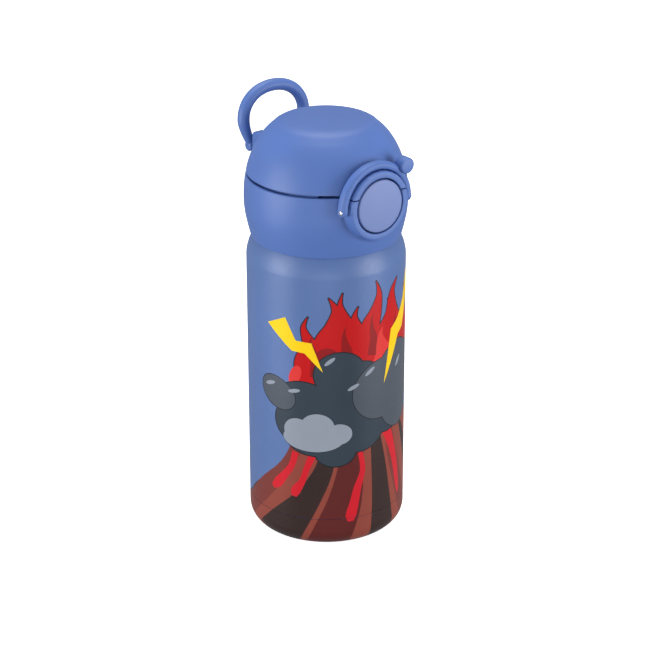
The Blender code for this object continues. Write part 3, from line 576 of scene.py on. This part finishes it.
def printed_sheet(name, low, high, nodes):
    """The body's outer surface between two distances along it, cut along the edges of the print."""
    half_round = math.pi * BODY_RADIUS / MM
    step = 2 * half_round / COLUMNS
    bends = [bend / MM for bend in (BASE_FILLET, SHOULDER[0]) if low < bend / MM < high]
    levels = [low]
    for end in bends + [high]:
        start = levels[-1]
        curved = end <= BASE_FILLET / MM or start >= SHOULDER[0] / MM
        count = max(1, round((end - start) / (0.8 if curved else 6.0)))
        levels += [start + (end - start) * (i + 1) / count for i in range(count)]
    points, edges = [], []
    for k, level in enumerate(levels):
        for j in range(COLUMNS + 1):
            points.append(Vector((step * j, level)))
            index = len(points) - 1
            if j:
                edges.append((index - 1, index))
            if k:
                edges.append((index - COLUMNS - 1, index))
    art = volcano_art() + far_side_art() + flame_art() + smoke_art() + bolt_art()
    for _, shape in art:
        for start, end in zip(shape, shape[1:] + shape[:1]):
            stretch = clipped(Vector(start), Vector(end), half_round, low, high)
            if stretch is not None:
                points += [end + Vector((half_round, 0)) for end in stretch]
                edges.append((len(points) - 2, len(points) - 1))
    spots, _, triangles, _, _, _ = delaunay_2d_cdt(points, edges, [], 0, 1e-3, False)
    corners = np.array([[spots[v] for v in triangle] for triangle in triangles])
    centres = corners.mean(axis=1) - (half_round, 0)
    used = ["coat"] + list(INKS)
    chosen = np.zeros(len(triangles), int)
    for ink, shape in art:
        chosen[covered(shape, centres)] = used.index(ink)
    mesh = bpy.data.meshes.new(name)
    placed, normals = [], []
    for spot in spots:
        radius, height, out, up = body_outline(spot.y * MM)
        angle = (spot.x - half_round) * MM / BODY_RADIUS - FACING
        placed.append(around(radius, height, angle))
        normals.append(around(out, up, angle))
    mesh.from_pydata(placed, [], triangles)
    for polygon, index in zip(mesh.polygons, chosen):
        polygon.material_index = int(index)
    mesh.shade_smooth()
    mesh.normals_split_custom_set_from_vertices(normals)
    piece = add_object(name, mesh)
    body = bpy.context.scene.bottle_body
    mesh.materials.append(grained("powder_coat", body.coat_colour[:], body.coat_roughness, grain=1100,
                                  bump=body.coat_texture, spread=0.03))
    for ink, colour in INKS.items():
        mesh.materials.append(grained(ink, linear(colour), body.ink_roughness, grain=1100,
                                      bump=body.coat_texture * 0.7, spread=0.05, specular=0.3))
    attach(piece, "bottle")
    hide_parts(*nodes)
    return piece


# ---- Lid shapes ----

HALF_NOTCH = 15             # columns on each side of the front, round the button's housing
NOTCH = range(HALF_TURN - HALF_NOTCH, HALF_TURN + HALF_NOTCH + 1)


def on_lid(across, height, inset=0.0):
    """The point of the lid's front surface at a place across and a height."""
    radius = lid_radius(height) - inset
    return Vector((across, -math.sqrt(max(radius**2 - across**2, 0)), height))


def wall_rings(bm, outline, hidden_rows):
    """Rings round the axis, without the front columns in some rows, and the faces between them."""
    rings = []
    for row, (radius, height) in enumerate(outline):
        ring = []
        for column in range(COLUMNS):
            hidden = row in hidden_rows and column in NOTCH[1:-1]
            point = around(radius, height, column_angle(column))
            ring.append(None if hidden else bm.verts.new(point))
        rings.append(ring)
    return rings


def join_wall(bm, first, second):
    for i in range(COLUMNS):
        corners = (first[i], first[(i + 1) % COLUMNS], second[(i + 1) % COLUMNS], second[i])
        if all(corners):
            bm.faces.new(corners)


def arch_points(count, level, upwards, radius_at, depth_at):
    """Points round the button's axis, from the left end to the right one, both at a height.

    The arch goes over the button or under it. Its radius and its y follow from two functions: the
    first takes how far the point is on the way to straight down, the second the point as well."""
    points = []
    for k in range(count):
        share = k / (count - 1)
        down = 0.0 if upwards else max(math.sin(share * 3.79 - 0.32), 0) ** 2
        radius = radius_at(down)
        end = math.asin((level - BUTTON_HEIGHT) / radius)
        if upwards:
            turn = math.pi - end - (math.pi - 2 * end) * share
        else:
            turn = math.pi - end + (math.pi + 2 * end) * share
        x = radius * math.cos(turn)
        z = BUTTON_HEIGHT + radius * math.sin(turn)
        points.append(Vector((x, depth_at(down, radius, x, z), z)))
    return points


def quarter(steps):
    """The sine and cosine along a quarter turn."""
    return [(math.sin(math.pi / 2 * i / steps), math.cos(math.pi / 2 * i / steps))
            for i in range(steps + 1)]


def blend_radius(down):
    """Radius of the hollow between the collar and its housing, which is soft below the button."""
    return (0.9 + 2.3 * down) * MM


def housing_side(down, radius, x, z):
    """How far the collar's surface is to the front where the hollow begins."""
    grow = (HOUSING_RADIUS + blend_radius(down)) / radius
    level = min(BUTTON_HEIGHT + (z - BUTTON_HEIGHT) * grow, COLLAR_TOP)
    return on_lid(x * grow, level).y


def knuckle_outline(start):
    """The outline, in Y and Z, of a hinge knuckle that is flat on one side."""
    return arc(HINGE, 2.95 * MM, start, 240, 16)


def make_collar():
    """The fixed half of the lid: skirt, deck, and the cup of the button's housing."""
    bm = bmesh.new()
    outer = [(lid_radius(COLLAR_BOTTOM + 0.35 * MM + 1.05 * MM * i),
              COLLAR_BOTTOM + 0.35 * MM + 1.05 * MM * i) for i in range(25)]
    rim = COLLAR_TOP - 0.8 * MM
    outer += [(lid_radius(rim) - 0.8 * MM * (1 - cos), rim + 0.8 * MM * sin) for sin, cos in quarter(4)]
    inner = mm([(31.1, 165.8), (30.6, 165.6), (30.5, 165.2), (30.5, 163.4), (30.5, 163.2),
                (30.5, 161.7), (6.3, 161.7), (6.3, 159.9), (30.35, 159.9), (30.35, 142.6),
                (31.2, 141.2), (31.95, 139.6), (32.25, 138.35), (32.5, 138.1)])
    narrow = mm([(33.5, 165.8), (33.05, 165.6), (32.9, 165.2), (32.9, 163.4), (30.5, 163.4),
                 (30.5, 161.7)])
    first = next(i for i, (_, z) in enumerate(outer) if z > 141.9 * MM)
    rings = wall_rings(bm, outer + inner, range(first + 1, len(outer)))
    for ring, (radius, height) in zip(rings[len(outer):], narrow):
        for column in range(COLUMNS):
            if column not in range(NOTCH[0] - 2, NOTCH[-1] + 3):
                ring[column].co = around(radius, height, column_angle(column))
    for lower, upper in zip(rings, rings[1:] + rings[:1]):
        join_wall(bm, lower, upper)
    for ring in rings:
        for column in (0, 1, 2, COLUMNS - 2, COLUMNS - 1):
            vert = ring[column]
            if vert.co.z > 161.9 * MM:
                vert.co.z = 161.9 * MM
    rows = range(first, len(outer))
    border = [rings[row][NOTCH[0]] for row in reversed(rows)]
    border += [rings[first][column] for column in NOTCH[1:-1]]
    border += [rings[row][NOTCH[-1]] for row in rows]
    count = len(border)
    lofted = [border]

    def add_arch(radius_at, depth_at):
        lofted.append(add_ring(bm, arch_points(count, COLLAR_TOP, False, radius_at, depth_at)))

    base = arch_points(count, COLLAR_TOP, False, lambda d: HOUSING_RADIUS + blend_radius(d),
                       lambda d, r, x, z: on_lid(x, z).y)
    for share in (0.4, 0.75):
        spots = [vert.co.lerp(foot, share) for vert, foot in zip(border, base)]
        lofted.append(add_ring(bm, [on_lid(spot.x, spot.z) for spot in spots]))
    lofted.append(add_ring(bm, base))
    front = -HOUSING_FACE
    for sin, cos in quarter(6)[1:]:
        add_arch(lambda d: HOUSING_RADIUS + blend_radius(d) * (1 - sin),
                 lambda d, r, x, z: max(housing_side(d, r, x, z) - blend_radius(d) * (1 - cos),
                                        front + 0.72 * MM))
    for sin, cos in quarter(4):
        add_arch(lambda d: HOUSING_RADIUS - HOUSING_ROUND * (1 - cos),
                 lambda d, r, x, z: front + HOUSING_ROUND * (1 - sin))
    for sin, cos in quarter(3):
        add_arch(lambda d: HOUSING_BORE + EDGE_ROUND * (1 - sin),
                 lambda d, r, x, z: front + EDGE_ROUND * (1 - cos))
    add_arch(lambda d: HOUSING_BORE, lambda d, r, x, z: -HOUSING_BACK)
    join_all(bm, lofted, closed=False)
    bm.faces.new(lofted[-1])
    fill_open_edges(bm, COLLAR_TOP - 0.1 * MM, COLLAR_TOP + 0.1 * MM)
    web = mm([(32, 163), (32, 158.6), (35.3, 158.6), (39, 164)])
    for side in (-1, 1):
        low, high = sorted((side * 4.0 * MM, side * 6.8 * MM))
        bevelled_block(bm, knuckle_outline(-60), low, high, EDGE_ROUND)
        bevelled_block(bm, web, low + 0.05 * MM, high - 0.05 * MM, EDGE_ROUND)
        rounded_rod(bm, 2.1 * MM, 12.4 * MM, 15.2 * MM, (side, 0, 0), (0, -BAIL_DISTANCE, BUTTON_HEIGHT),
                    0.25 * MM, 32)
    return make_piece("lid_collar", bm, lid_plastic(), "lid", ["collar_shell"])


def make_cap():
    """The domed cap with its notch over the button, its hinge knuckle and the loop's lugs."""
    bm = bmesh.new()
    dome = dome_outline()
    edge = [(lid_radius(CAP_BOTTOM) - 0.5 * MM * (1 - sin), CAP_BOTTOM + 0.5 * MM * (1 - cos))
            for sin, cos in quarter(3)[:-1]]
    outer = edge + dome
    inner = [(lid_radius(z) - CAP_WALL, z) for _, z in edge] + inset_outline(dome, CAP_WALL)
    top = next(i for i, (_, z) in enumerate(outer) if z > 178.9 * MM)
    borders, lowest = [], []
    for outline in (outer, inner):
        rings = wall_rings(bm, outline, range(0, top))
        for lower, upper in zip(rings, rings[1:]):
            join_wall(bm, lower, upper)
        bm.faces.new(rings[-1])
        borders.append([rings[row][NOTCH[0]] for row in range(top + 1)]
                       + [rings[top][column] for column in NOTCH[1:-1]]
                       + [rings[row][NOTCH[-1]] for row in range(top, -1, -1)])
        lowest.append(rings[0])
    join_wall(bm, *lowest)
    count = len(borders[0])
    notch = HOUSING_RADIUS + GAP
    lofted = [borders[0]]

    def add_arch(radius, depth_at):
        lofted.append(add_ring(bm, arch_points(count, CAP_BOTTOM, True, lambda d: radius, depth_at)))

    def add_between(border, radius, inset, share):
        base = arch_points(count, CAP_BOTTOM, True, lambda d: radius,
                           lambda d, r, x, z: on_lid(x, z, inset).y)
        spots = [vert.co.lerp(foot, share) for vert, foot in zip(border, base)]
        lofted.append(add_ring(bm, [on_lid(spot.x, spot.z, inset) for spot in spots]))

    bevel = 0.5 * MM
    add_between(borders[0], notch + bevel, 0, 0.5)
    for sin, cos in quarter(4):
        add_arch(notch + bevel * (1 - sin), lambda d, r, x, z: on_lid(x, z).y + bevel * (1 - cos))
    add_arch(notch, lambda d, r, x, z: on_lid(x, z, CAP_WALL).y)
    add_between(borders[1], notch, CAP_WALL, 0.5)
    lofted.append(borders[1])
    join_all(bm, lofted, closed=False)
    for end in (0, -1):
        bm.faces.new([ring[end] for ring in lofted])
    skirt = mm([(32.0, 164.0), (32.4, 164.3), (32.4, 166.95), (33.2, 166.95), (33.2, 168.0),
                (31.3, 168.0), (31.3, 164.3), (31.6, 164.0)])
    swept(bm, [[around(r, z, column_angle(column)) for r, z in skirt]
               for column in range(NOTCH[-1] + 4, NOTCH[0] - 3 + COLUMNS)])
    for side in (-1, 1):
        low, high = sorted((side * 7.4 * MM, side * 10.8 * MM))
        lug = mm([(24, 168), (35.5, 167.6)]) + arc(LOOP_PIVOT, 3.1 * MM, -70, 190, 14) + mm([(24, 176)])
        bevelled_block(bm, lug, low, high, 0.8 * MM, 4)
        low, high = sorted((side * 9.6 * MM, side * 14.9 * MM))
        rest = mm([(19, 167.9), (34.2, 167.9), (34.2, 176.8), (33.2, 178.2), (19, 178.6)])
        bevelled_block(bm, rest, low, high, 1.5 * MM, 5)
    arm = mm([(33.2, 167.4), (35.2, 167.4), (38.6, 167.5), (37.5, 168.3), (33.2, 168.4)])
    low, high = -3.5 * MM, 0.3 * MM
    bevelled_block(bm, arm, low, high, 0.2 * MM, 2)
    bevelled_block(bm, knuckle_outline(120), low, high, EDGE_ROUND)
    return make_piece("flip_cap", bm, lid_plastic(), "cap", ["cap_shell"])


def make_crescent():
    """The upper half of the ring round the button, which stays on the collar."""
    bm = bmesh.new()
    level = SPLIT + 0.3 * MM
    front = -HOUSING_FACE
    back = -29.6 * MM
    foot = 2.0 * MM + level - BUTTON_HEIGHT
    section = [(HOUSING_BORE, -HOUSING_BACK)]
    section += [(HOUSING_BORE + EDGE_ROUND * (1 - cos), front + EDGE_ROUND * (1 - sin))
                for sin, cos in quarter(3)]
    section += [(HOUSING_RADIUS - HOUSING_ROUND * (1 - sin), front + HOUSING_ROUND * (1 - cos))
                for sin, cos in quarter(4)]
    section += [(HOUSING_RADIUS, back), (foot, back), (foot, -HOUSING_BACK)]
    arcs = []
    for radius, y in section:
        points = arch_points(49, level, True, lambda d: radius, lambda d, r, x, z: y)
        arcs.append(add_ring(bm, points))
    for first, second in zip(arcs, arcs[1:] + arcs[:1]):
        join_rings(bm, first, second, closed=False)
    for end in (0, -1):
        bm.faces.new([arc[end] for arc in arcs])
    return make_piece("button_crescent", bm, lid_plastic(), "lid", ["upper_bezel"])


def make_button():
    """The round button, slightly crowned, with a rounded rim and a back that clears its spring."""
    tip = -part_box("push_button")[0].y
    back = -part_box("push_button")[1].y
    shoulder = tip - 0.75 * MM
    rim = 0.6 * MM
    face = BUTTON_RADIUS - rim
    outline = mm([(0.1, 37.75), (4.75, 37.75), (4.75, 35.75), (10.2, 35.75)])
    outline += [(BUTTON_RADIUS - 1.3 * MM, back), (BUTTON_RADIUS, back),
                (BUTTON_RADIUS, shoulder - 0.55 * MM)]
    outline += [(face + rim * cos, shoulder - rim * (1 - sin)) for sin, cos in quarter(4)]
    for i in range(1, 8):
        share = 1 - i / 8
        outline.append((face * share, tip - (tip - shoulder) * share**2))
    outline.append((0.1 * MM, tip))
    bm = bmesh.new()
    spun(bm, outline, 72, laid_along((0, -1, 0), (0, 0, BUTTON_HEIGHT)))
    return make_piece("round_button", bm, button_plastic(), "button",
                      ["push_button"], 40)


def rounded_outline(corners, radius, steps=4):
    """A polygon with its corners rounded off."""
    points = []
    count = len(corners)
    for i in range(count):
        before, here, after = (Vector(corners[(i + k) % count]) for k in (-1, 0, 1))
        start = here + (before - here).normalized() * min(radius, (before - here).length * 0.45)
        end = here + (after - here).normalized() * min(radius, (after - here).length * 0.45)
        for k in range(steps + 1):
            t = k / steps
            points.append(start.lerp(here, t).lerp(here.lerp(end, t), t))
    return points


def make_bail():
    """The lock bail: a band with a soft ridge, rounded feet on its pins, and a knob."""
    bm = bmesh.new()
    section = rounded_outline(mm([(1.6, 1.95), (1.6, -0.9), (0.5, -1.95), (-1.1, -1.75), (-1.6, -1.2),
                                  (-1.6, 1.95)]), 0.55 * MM)
    stations = []
    drops = (1.93, 1.7, 1.3, 0.7)
    for drop in drops:
        thin = math.sqrt(1 - (drop / 2) ** 2)
        stations.append([Vector((-BAIL_MIDDLE - a * min(1, 0.75 + 0.25 * thin),
                                 -BAIL_DISTANCE + d * thin, BUTTON_HEIGHT - drop * MM))
                         for a, d in section])
    for i in range(97):
        turn = math.pi - math.pi * i / 96
        stations.append([Vector(((BAIL_MIDDLE + a) * math.cos(turn), -BAIL_DISTANCE + d,
                                 BUTTON_HEIGHT + (BAIL_MIDDLE + a) * math.sin(turn)))
                         for a, d in section])
    for station in stations[len(drops) - 1::-1]:
        stations.append([Vector((-point.x, point.y, point.z)) for point in station])
    swept(bm, stations)
    knob = Vector((math.cos(math.radians(45)), 0, math.sin(math.radians(45)))) * 20.8 * MM
    knob += Vector((0, 0, BUTTON_HEIGHT))
    lowest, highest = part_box("lock_bail")
    rounded_rod(bm, 3.5 * MM, -highest.y, -lowest.y, (0, -1, 0), knob, 0.8 * MM, 56)
    neck = laid_along((1, 0, 1), (0, -BAIL_DISTANCE, BUTTON_HEIGHT))
    spun(bm, mm([(1.9, 16.6), (1.8, 20)]), 24, neck)
    return make_piece("bail_arch", bm, lid_plastic(), "bail", ["lock_bail"])


def make_carry_loop():
    """The carry loop: a round bar that is thicker at the top, with an eye on each pin."""
    bm = bmesh.new()
    foot, half, widest = 12.7 * MM, 16.2 * MM, 11 * MM
    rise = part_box("carry_loop")[1].z - LOOP_PIVOT.z
    lean = math.radians(5)
    crest = rise / math.cos(lean) - 2.7 * MM
    line = []
    for i in range(12):
        up = widest * i / 12
        line.append((half - (half - foot) * (1 - up / widest) ** 1.5, up))
    for i in range(24):
        angle = math.pi / 2 * i / 23
        line.append((half * math.cos(angle) ** 0.94,
                     widest + (crest - widest) * math.sin(angle) ** 0.94))
    line += [(-x, up) for x, up in line[-2::-1]]
    path = [Vector((x, LOOP_PIVOT.y + up * math.sin(lean), LOOP_PIVOT.z + up * math.cos(lean)))
            for x, up in line]
    across = Vector((0, math.cos(lean), -math.sin(lean)))
    stations = []
    for i, point in enumerate(path):
        along = (path[min(i + 1, len(path) - 1)] - path[max(i - 1, 0)]).normalized()
        side = along.cross(across)
        radius = (1.9 + 0.82 * min(line[i][1] / widest, 1)) * MM
        turns = [math.tau * k / 24 for k in range(24)]
        stations.append([point + (side * math.cos(turn) + across * math.sin(turn)) * radius
                         for turn in turns])
    swept(bm, stations)
    for side in (-1, 1):
        rounded_rod(bm, 2.45 * MM, 11.1 * MM, 15.1 * MM, (side, 0, 0), LOOP_PIVOT, 0.9 * MM, 40)
    return make_piece("carry_handle", bm, lid_plastic(), "handle", ["carry_loop"])


def make_pins():
    """Smooth pins for the bail, with domed ends."""
    for name, side in (("left", -1), ("right", 1)):
        bm = bmesh.new()
        rounded_rod(bm, 1.15 * MM, 12.95 * MM, 18.95 * MM, (side, 0, 0),
                    (0, -BAIL_DISTANCE, BUTTON_HEIGHT), 0.5 * MM, 28)
        make_piece(f"bail_rivet_{name}", bm, polished_steel(), "lid",
                   [f"bail_pin_{name}"])


# ---- Body shapes ----

def make_neck():
    """The steel neck with its rolled thread, and the inside of the shell."""
    bm = bmesh.new()
    lead, height = 4 * MM, 1.045 * MM
    low, high = 146 * MM, 155 * MM
    levels = [level * MM for level in (138.5, 139.8, 141, 142, 142.6)]
    levels += [143 * MM + 0.35 * MM * i for i in range(40)]
    rings = []
    for z in [level for level in levels if level < NECK_TOP - 0.1 * MM] + [NECK_TOP]:
        ring = []
        for column in range(COLUMNS):
            angle = column_angle(column)
            radius = body_outline(z)[0] if z < 142.9 * MM else NECK_RADIUS
            phase = ((z - low) / lead - angle / math.tau) % 1.0
            crest = math.exp(-((phase - 0.5) / 0.17) ** 2)
            fade = min(max((z - low) / (2 * MM), 0), 1) * min(max((high - z) / (2 * MM), 0), 1)
            ring.append(bm.verts.new(around(radius + height * crest * fade, z, angle)))
        rings.append(ring)
    rings += turned_rings(bm, mm([(26.4, 157), (26.4, 143.5), (29.5, 140.5), (32.5, 135), (34.3, 129),
                                  (34.4, 15.2)]))
    join_all(bm, rings)
    return bm


def make_base_inside():
    """The underside's flat middle and groove, and the inside of the base cup."""
    bm = bmesh.new()
    underside = mm([(26.7, 0), (22, 0), (21.5, 0.35), (21, 0.8), (18, 0.8), (17.5, 0.35), (17, 0),
                    (9, 0), (0.2, 0)])
    inside = mm([(34.95, 14.55), (34.4, 14.55), (34.4, 8.3), (33.2, 4), (30, 1.4), (26.7, 0.6),
                 (0.2, 0.6)])
    for outline in (underside, inside):
        rings = turned_rings(bm, outline)
        join_all(bm, rings)
        bm.faces.new(rings[-1])
    return bm


# ---- Settings ----

class BottleBodySettings(bpy.types.PropertyGroup):
    coat_colour: FloatVectorProperty(
        name="Coat colour", description="Powder coat on the steel body", subtype="COLOR",
        size=3, min=0, max=1, default=linear((82, 110, 164)))
    coat_roughness: FloatProperty(
        name="Coat roughness", description="Roughness of the powder coat",
        min=0, max=1, default=0.42, subtype="FACTOR")
    coat_texture: FloatProperty(
        name="Coat texture", description="Depth of the powder coat's grain",
        min=0, max=1, default=0.22, subtype="FACTOR")
    ink_roughness: FloatProperty(
        name="Ink roughness", description="Roughness of the print on the body",
        min=0, max=1, default=0.40, subtype="FACTOR")


class BottleLidSettings(bpy.types.PropertyGroup):
    plastic_colour: FloatVectorProperty(
        name="Plastic colour", description="Moulded plastic of the lid", subtype="COLOR",
        size=3, min=0, max=1, default=linear((78, 109, 176)))
    button_colour: FloatVectorProperty(
        name="Button colour", description="Moulded plastic of the button", subtype="COLOR",
        size=3, min=0, max=1, default=linear((112, 130, 184)))
    roughness: FloatProperty(
        name="Plastic roughness", description="Roughness of the satin plastic",
        min=0, max=1, default=0.5, subtype="FACTOR")


class BottleStageSettings(bpy.types.PropertyGroup):
    side_light: FloatProperty(
        name="Side light", description="Power of each tall softbox, in watts",
        min=0, default=5.3, unit="POWER")
    top_light: FloatProperty(
        name="Top light", description="Power of the softbox above, in watts",
        min=0, default=5.4, unit="POWER")
    front_light: FloatProperty(
        name="Front light", description="Power of the low softbox in front, in watts",
        min=0, default=1.8, unit="POWER")
    room_light: FloatProperty(
        name="Room light", description="Strength of the even light from all round",
        min=0, default=0.36)
    lens: FloatProperty(
        name="Lens", description="Focal length of the camera, in millimetres",
        min=20, max=300, default=120.5)


# ---- Operators ----

class BOTTLE_OT_body(bpy.types.Operator):
    """Build the printed steel body: outer shell, neck and base cup"""
    bl_idname = "bottle.body"
    bl_label = "Body"

    def execute(self, context):
        shell = printed_sheet("printed_shell", SEAM / MM + 0.07, 138.5, ["outer_shell"])
        join_to(shell, make_neck())
        underside = BASE_FILLET * (1 - math.pi / 2) / MM
        cup = printed_sheet("base_cup", underside, SEAM / MM - 0.07, ["bottom_shell"])
        join_to(cup, make_base_inside())
        return {"FINISHED"}


def join_to(piece, bm):
    """Add a bmesh of the piece's first material to it, and keep the normals of both."""
    other = add_object("part", smooth_mesh("part", bm, 35))
    other.data.materials.append(piece.data.materials[0])
    with bpy.context.temp_override(active_object=piece, object=piece,
                                   selected_objects=[piece, other],
                                   selected_editable_objects=[piece, other]):
        bpy.ops.object.join()


class BOTTLE_OT_collar(bpy.types.Operator):
    """Build the collar of the lid, the crescent over the button and the bail's pins"""
    bl_idname = "bottle.collar"
    bl_label = "Collar"

    def execute(self, context):
        make_collar()
        make_crescent()
        make_pins()
        return {"FINISHED"}


class BOTTLE_OT_cap(bpy.types.Operator):
    """Build the domed flip cap"""
    bl_idname = "bottle.cap"
    bl_label = "Flip cap"

    def execute(self, context):
        make_cap()
        return {"FINISHED"}


class BOTTLE_OT_button(bpy.types.Operator):
    """Build the round push button"""
    bl_idname = "bottle.button"
    bl_label = "Button"

    def execute(self, context):
        make_button()
        return {"FINISHED"}


class BOTTLE_OT_bail(bpy.types.Operator):
    """Build the bail that locks the button"""
    bl_idname = "bottle.bail"
    bl_label = "Lock bail"

    def execute(self, context):
        make_bail()
        return {"FINISHED"}


class BOTTLE_OT_carry_loop(bpy.types.Operator):
    """Build the carry loop at the back of the cap"""
    bl_idname = "bottle.carry_loop"
    bl_label = "Carry loop"

    def execute(self, context):
        make_carry_loop()
        return {"FINISHED"}


class BOTTLE_OT_inner_parts(bpy.types.Operator):
    """Give the parts inside the bottle and the lid their finishes"""
    bl_idname = "bottle.inner_parts"
    bl_label = "Inner parts"

    def execute(self, context):
        liner_steel = brushed_steel()
        pins = polished_steel()
        springs = grained("bright_wire", (0.50, 0.50, 0.52), 0.25, metallic=1.0, grain=2500,
                          bump=0.05, spread=0.08)
        white = grained("inner_satin", (0.80, 0.80, 0.78), 0.45, grain=1400, bump=0.06, spread=0.03)
        hook = grained("hook_satin", context.scene.bottle_lid.plastic_colour[:], 0.5, grain=1500,
                       bump=0.05, spread=0.05)
        gasket = grained("seal_matt", (0.78, 0.78, 0.76), 0.6, grain=900, bump=0.10, spread=0.05,
                         subsurface=0.15)
        mouth = grained("mouthpiece_matt", linear((170, 192, 224)), 0.5, grain=900, bump=0.08,
                        spread=0.05, subsurface=0.25)
        straw = grained("straw_clear", (0.86, 0.90, 0.94), 0.22, grain=600, bump=0.04, spread=0.03,
                        transmission=0.7)
        finishes = {
            "inner_liner": liner_steel, "vacuum_getter": springs, "straw": straw,
            "mouth_gasket": gasket,
            "thread_insert": white, "spout_socket": white, "spout": mouth, "vent_valve": gasket,
            "hinge_pin": pins, "hinge_spring": springs, "button_spring": springs, "cap_liner": white,
            "cap_seal": gasket, "handle_pin_left": pins, "handle_pin_right": pins, "latch_hook": hook,
        }
        for node, material in finishes.items():
            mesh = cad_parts[node].data
            mesh.materials.clear()
            mesh.materials.append(material)
        return {"FINISHED"}


def area_light(name, place, aim, size, power):
    data = bpy.data.lights.new(name, "AREA")
    data.shape = "RECTANGLE"
    data.size, data.size_y = size
    data.energy = power
    light = add_object(name, data)
    light.location = place
    light.rotation_euler = (Vector(aim) - Vector(place)).to_track_quat("-Z", "Y").to_euler()


class BOTTLE_OT_stage(bpy.types.Operator):
    """Build the pale floor, the soft lights and the camera"""
    bl_idname = "bottle.stage"
    bl_label = "Stage"

    def execute(self, context):
        settings = context.scene.bottle_stage
        make_floor()
        for name, turn in (("softbox_left", -66), ("softbox_right", 66)):
            area_light(name, around(0.75, 0.13, math.radians(turn) - FACING), (0, 0, 0.12),
                       (0.42, 0.55), settings.side_light)
        area_light("softbox_top", around(-0.15, 0.95, -FACING), (0, 0, 0.15), (0.6, 0.6),
                   settings.top_light)
        area_light("softbox_front", around(0.80, 0.04, -FACING), (0, 0, 0.14), (0.6, 0.3),
                   settings.front_light)
        world = bpy.data.worlds.new("studio")
        context.scene.world = world
        world.use_nodes = True
        set_inputs(world.node_tree.nodes["Background"],
                   {"Color": (1, 1, 1, 1), "Strength": settings.room_light})
        camera = add_object("camera", bpy.data.cameras.new("camera"))
        camera.data.lens = settings.lens
        camera.data.clip_start = 0.05
        forward = Vector((0.5524, 0.7331, -0.3967)).normalized()
        right = forward.cross(Vector((0, 0, 1))).normalized()
        up = right.cross(forward)
        turned = Matrix((right, up, -forward)).transposed().to_4x4()
        roll = Matrix.Rotation(math.radians(-0.13), 4, "Z")
        camera.matrix_world = Matrix.Translation((-0.5344, -0.7083, 0.4772)) @ turned @ roll
        context.scene.camera = camera
        context.scene.view_settings.view_transform = "Standard"
        return {"FINISHED"}


def make_floor():
    """A wide white floor that rises into a rim, metres away from the bottle."""
    bm = bmesh.new()
    bmesh.ops.create_grid(bm, x_segments=48, y_segments=48, size=8)
    for vert in bm.verts:
        vert.co.z = 0.25 * max(0, vert.co.length - 3) ** 2
    floor = add_object("floor", mesh_of("floor", bm))
    material = bpy.data.materials.new("white_floor")
    material.use_nodes = True
    set_inputs(material.node_tree.nodes["Principled BSDF"],
               {"Base Color": (0.9, 0.9, 0.9, 1), "Roughness": 0.9,
                "Emission Color": (1, 1, 1, 1), "Emission Strength": 0.8})
    floor.data.materials.append(material)
    floor.visible_diffuse = False
    floor.visible_glossy = False


# ---- Panel and registration ----

class BOTTLE_PT_build(bpy.types.Panel):
    """Buttons that build the bottle's looks"""
    bl_label = "Straw Bottle"
    bl_idname = "BOTTLE_PT_build"
    bl_space_type = "VIEW_3D"
    bl_region_type = "UI"
    bl_category = "Bottle"

    def draw(self, context):
        scene = context.scene
        for group in (scene.bottle_body, scene.bottle_lid, scene.bottle_stage):
            box = self.layout.box()
            for name in group.__annotations__:
                box.prop(group, name)
        for operator in OPERATORS:
            self.layout.operator(operator.bl_idname)


OPERATORS = (BOTTLE_OT_body, BOTTLE_OT_collar, BOTTLE_OT_cap, BOTTLE_OT_button, BOTTLE_OT_bail,
             BOTTLE_OT_carry_loop, BOTTLE_OT_inner_parts, BOTTLE_OT_stage)
GROUPS = {"bottle_body": BottleBodySettings, "bottle_lid": BottleLidSettings,
          "bottle_stage": BottleStageSettings}


def register():
    for name, group in GROUPS.items():
        bpy.utils.register_class(group)
        setattr(bpy.types.Scene, name, PointerProperty(type=group))
    for cls in OPERATORS + (BOTTLE_PT_build,):
        bpy.utils.register_class(cls)


def unregister():
    for cls in reversed(OPERATORS + (BOTTLE_PT_build,)):
        bpy.utils.unregister_class(cls)
    for name, group in GROUPS.items():
        delattr(bpy.types.Scene, name)
        bpy.utils.unregister_class(group)


def main():
    register()
    bpy.ops.bottle.body()
    bpy.ops.bottle.collar()
    bpy.ops.bottle.cap()
    bpy.ops.bottle.button()
    bpy.ops.bottle.bail()
    bpy.ops.bottle.carry_loop()
    bpy.ops.bottle.inner_parts()
    bpy.ops.bottle.stage()


if __name__ == "__main__":
    main()
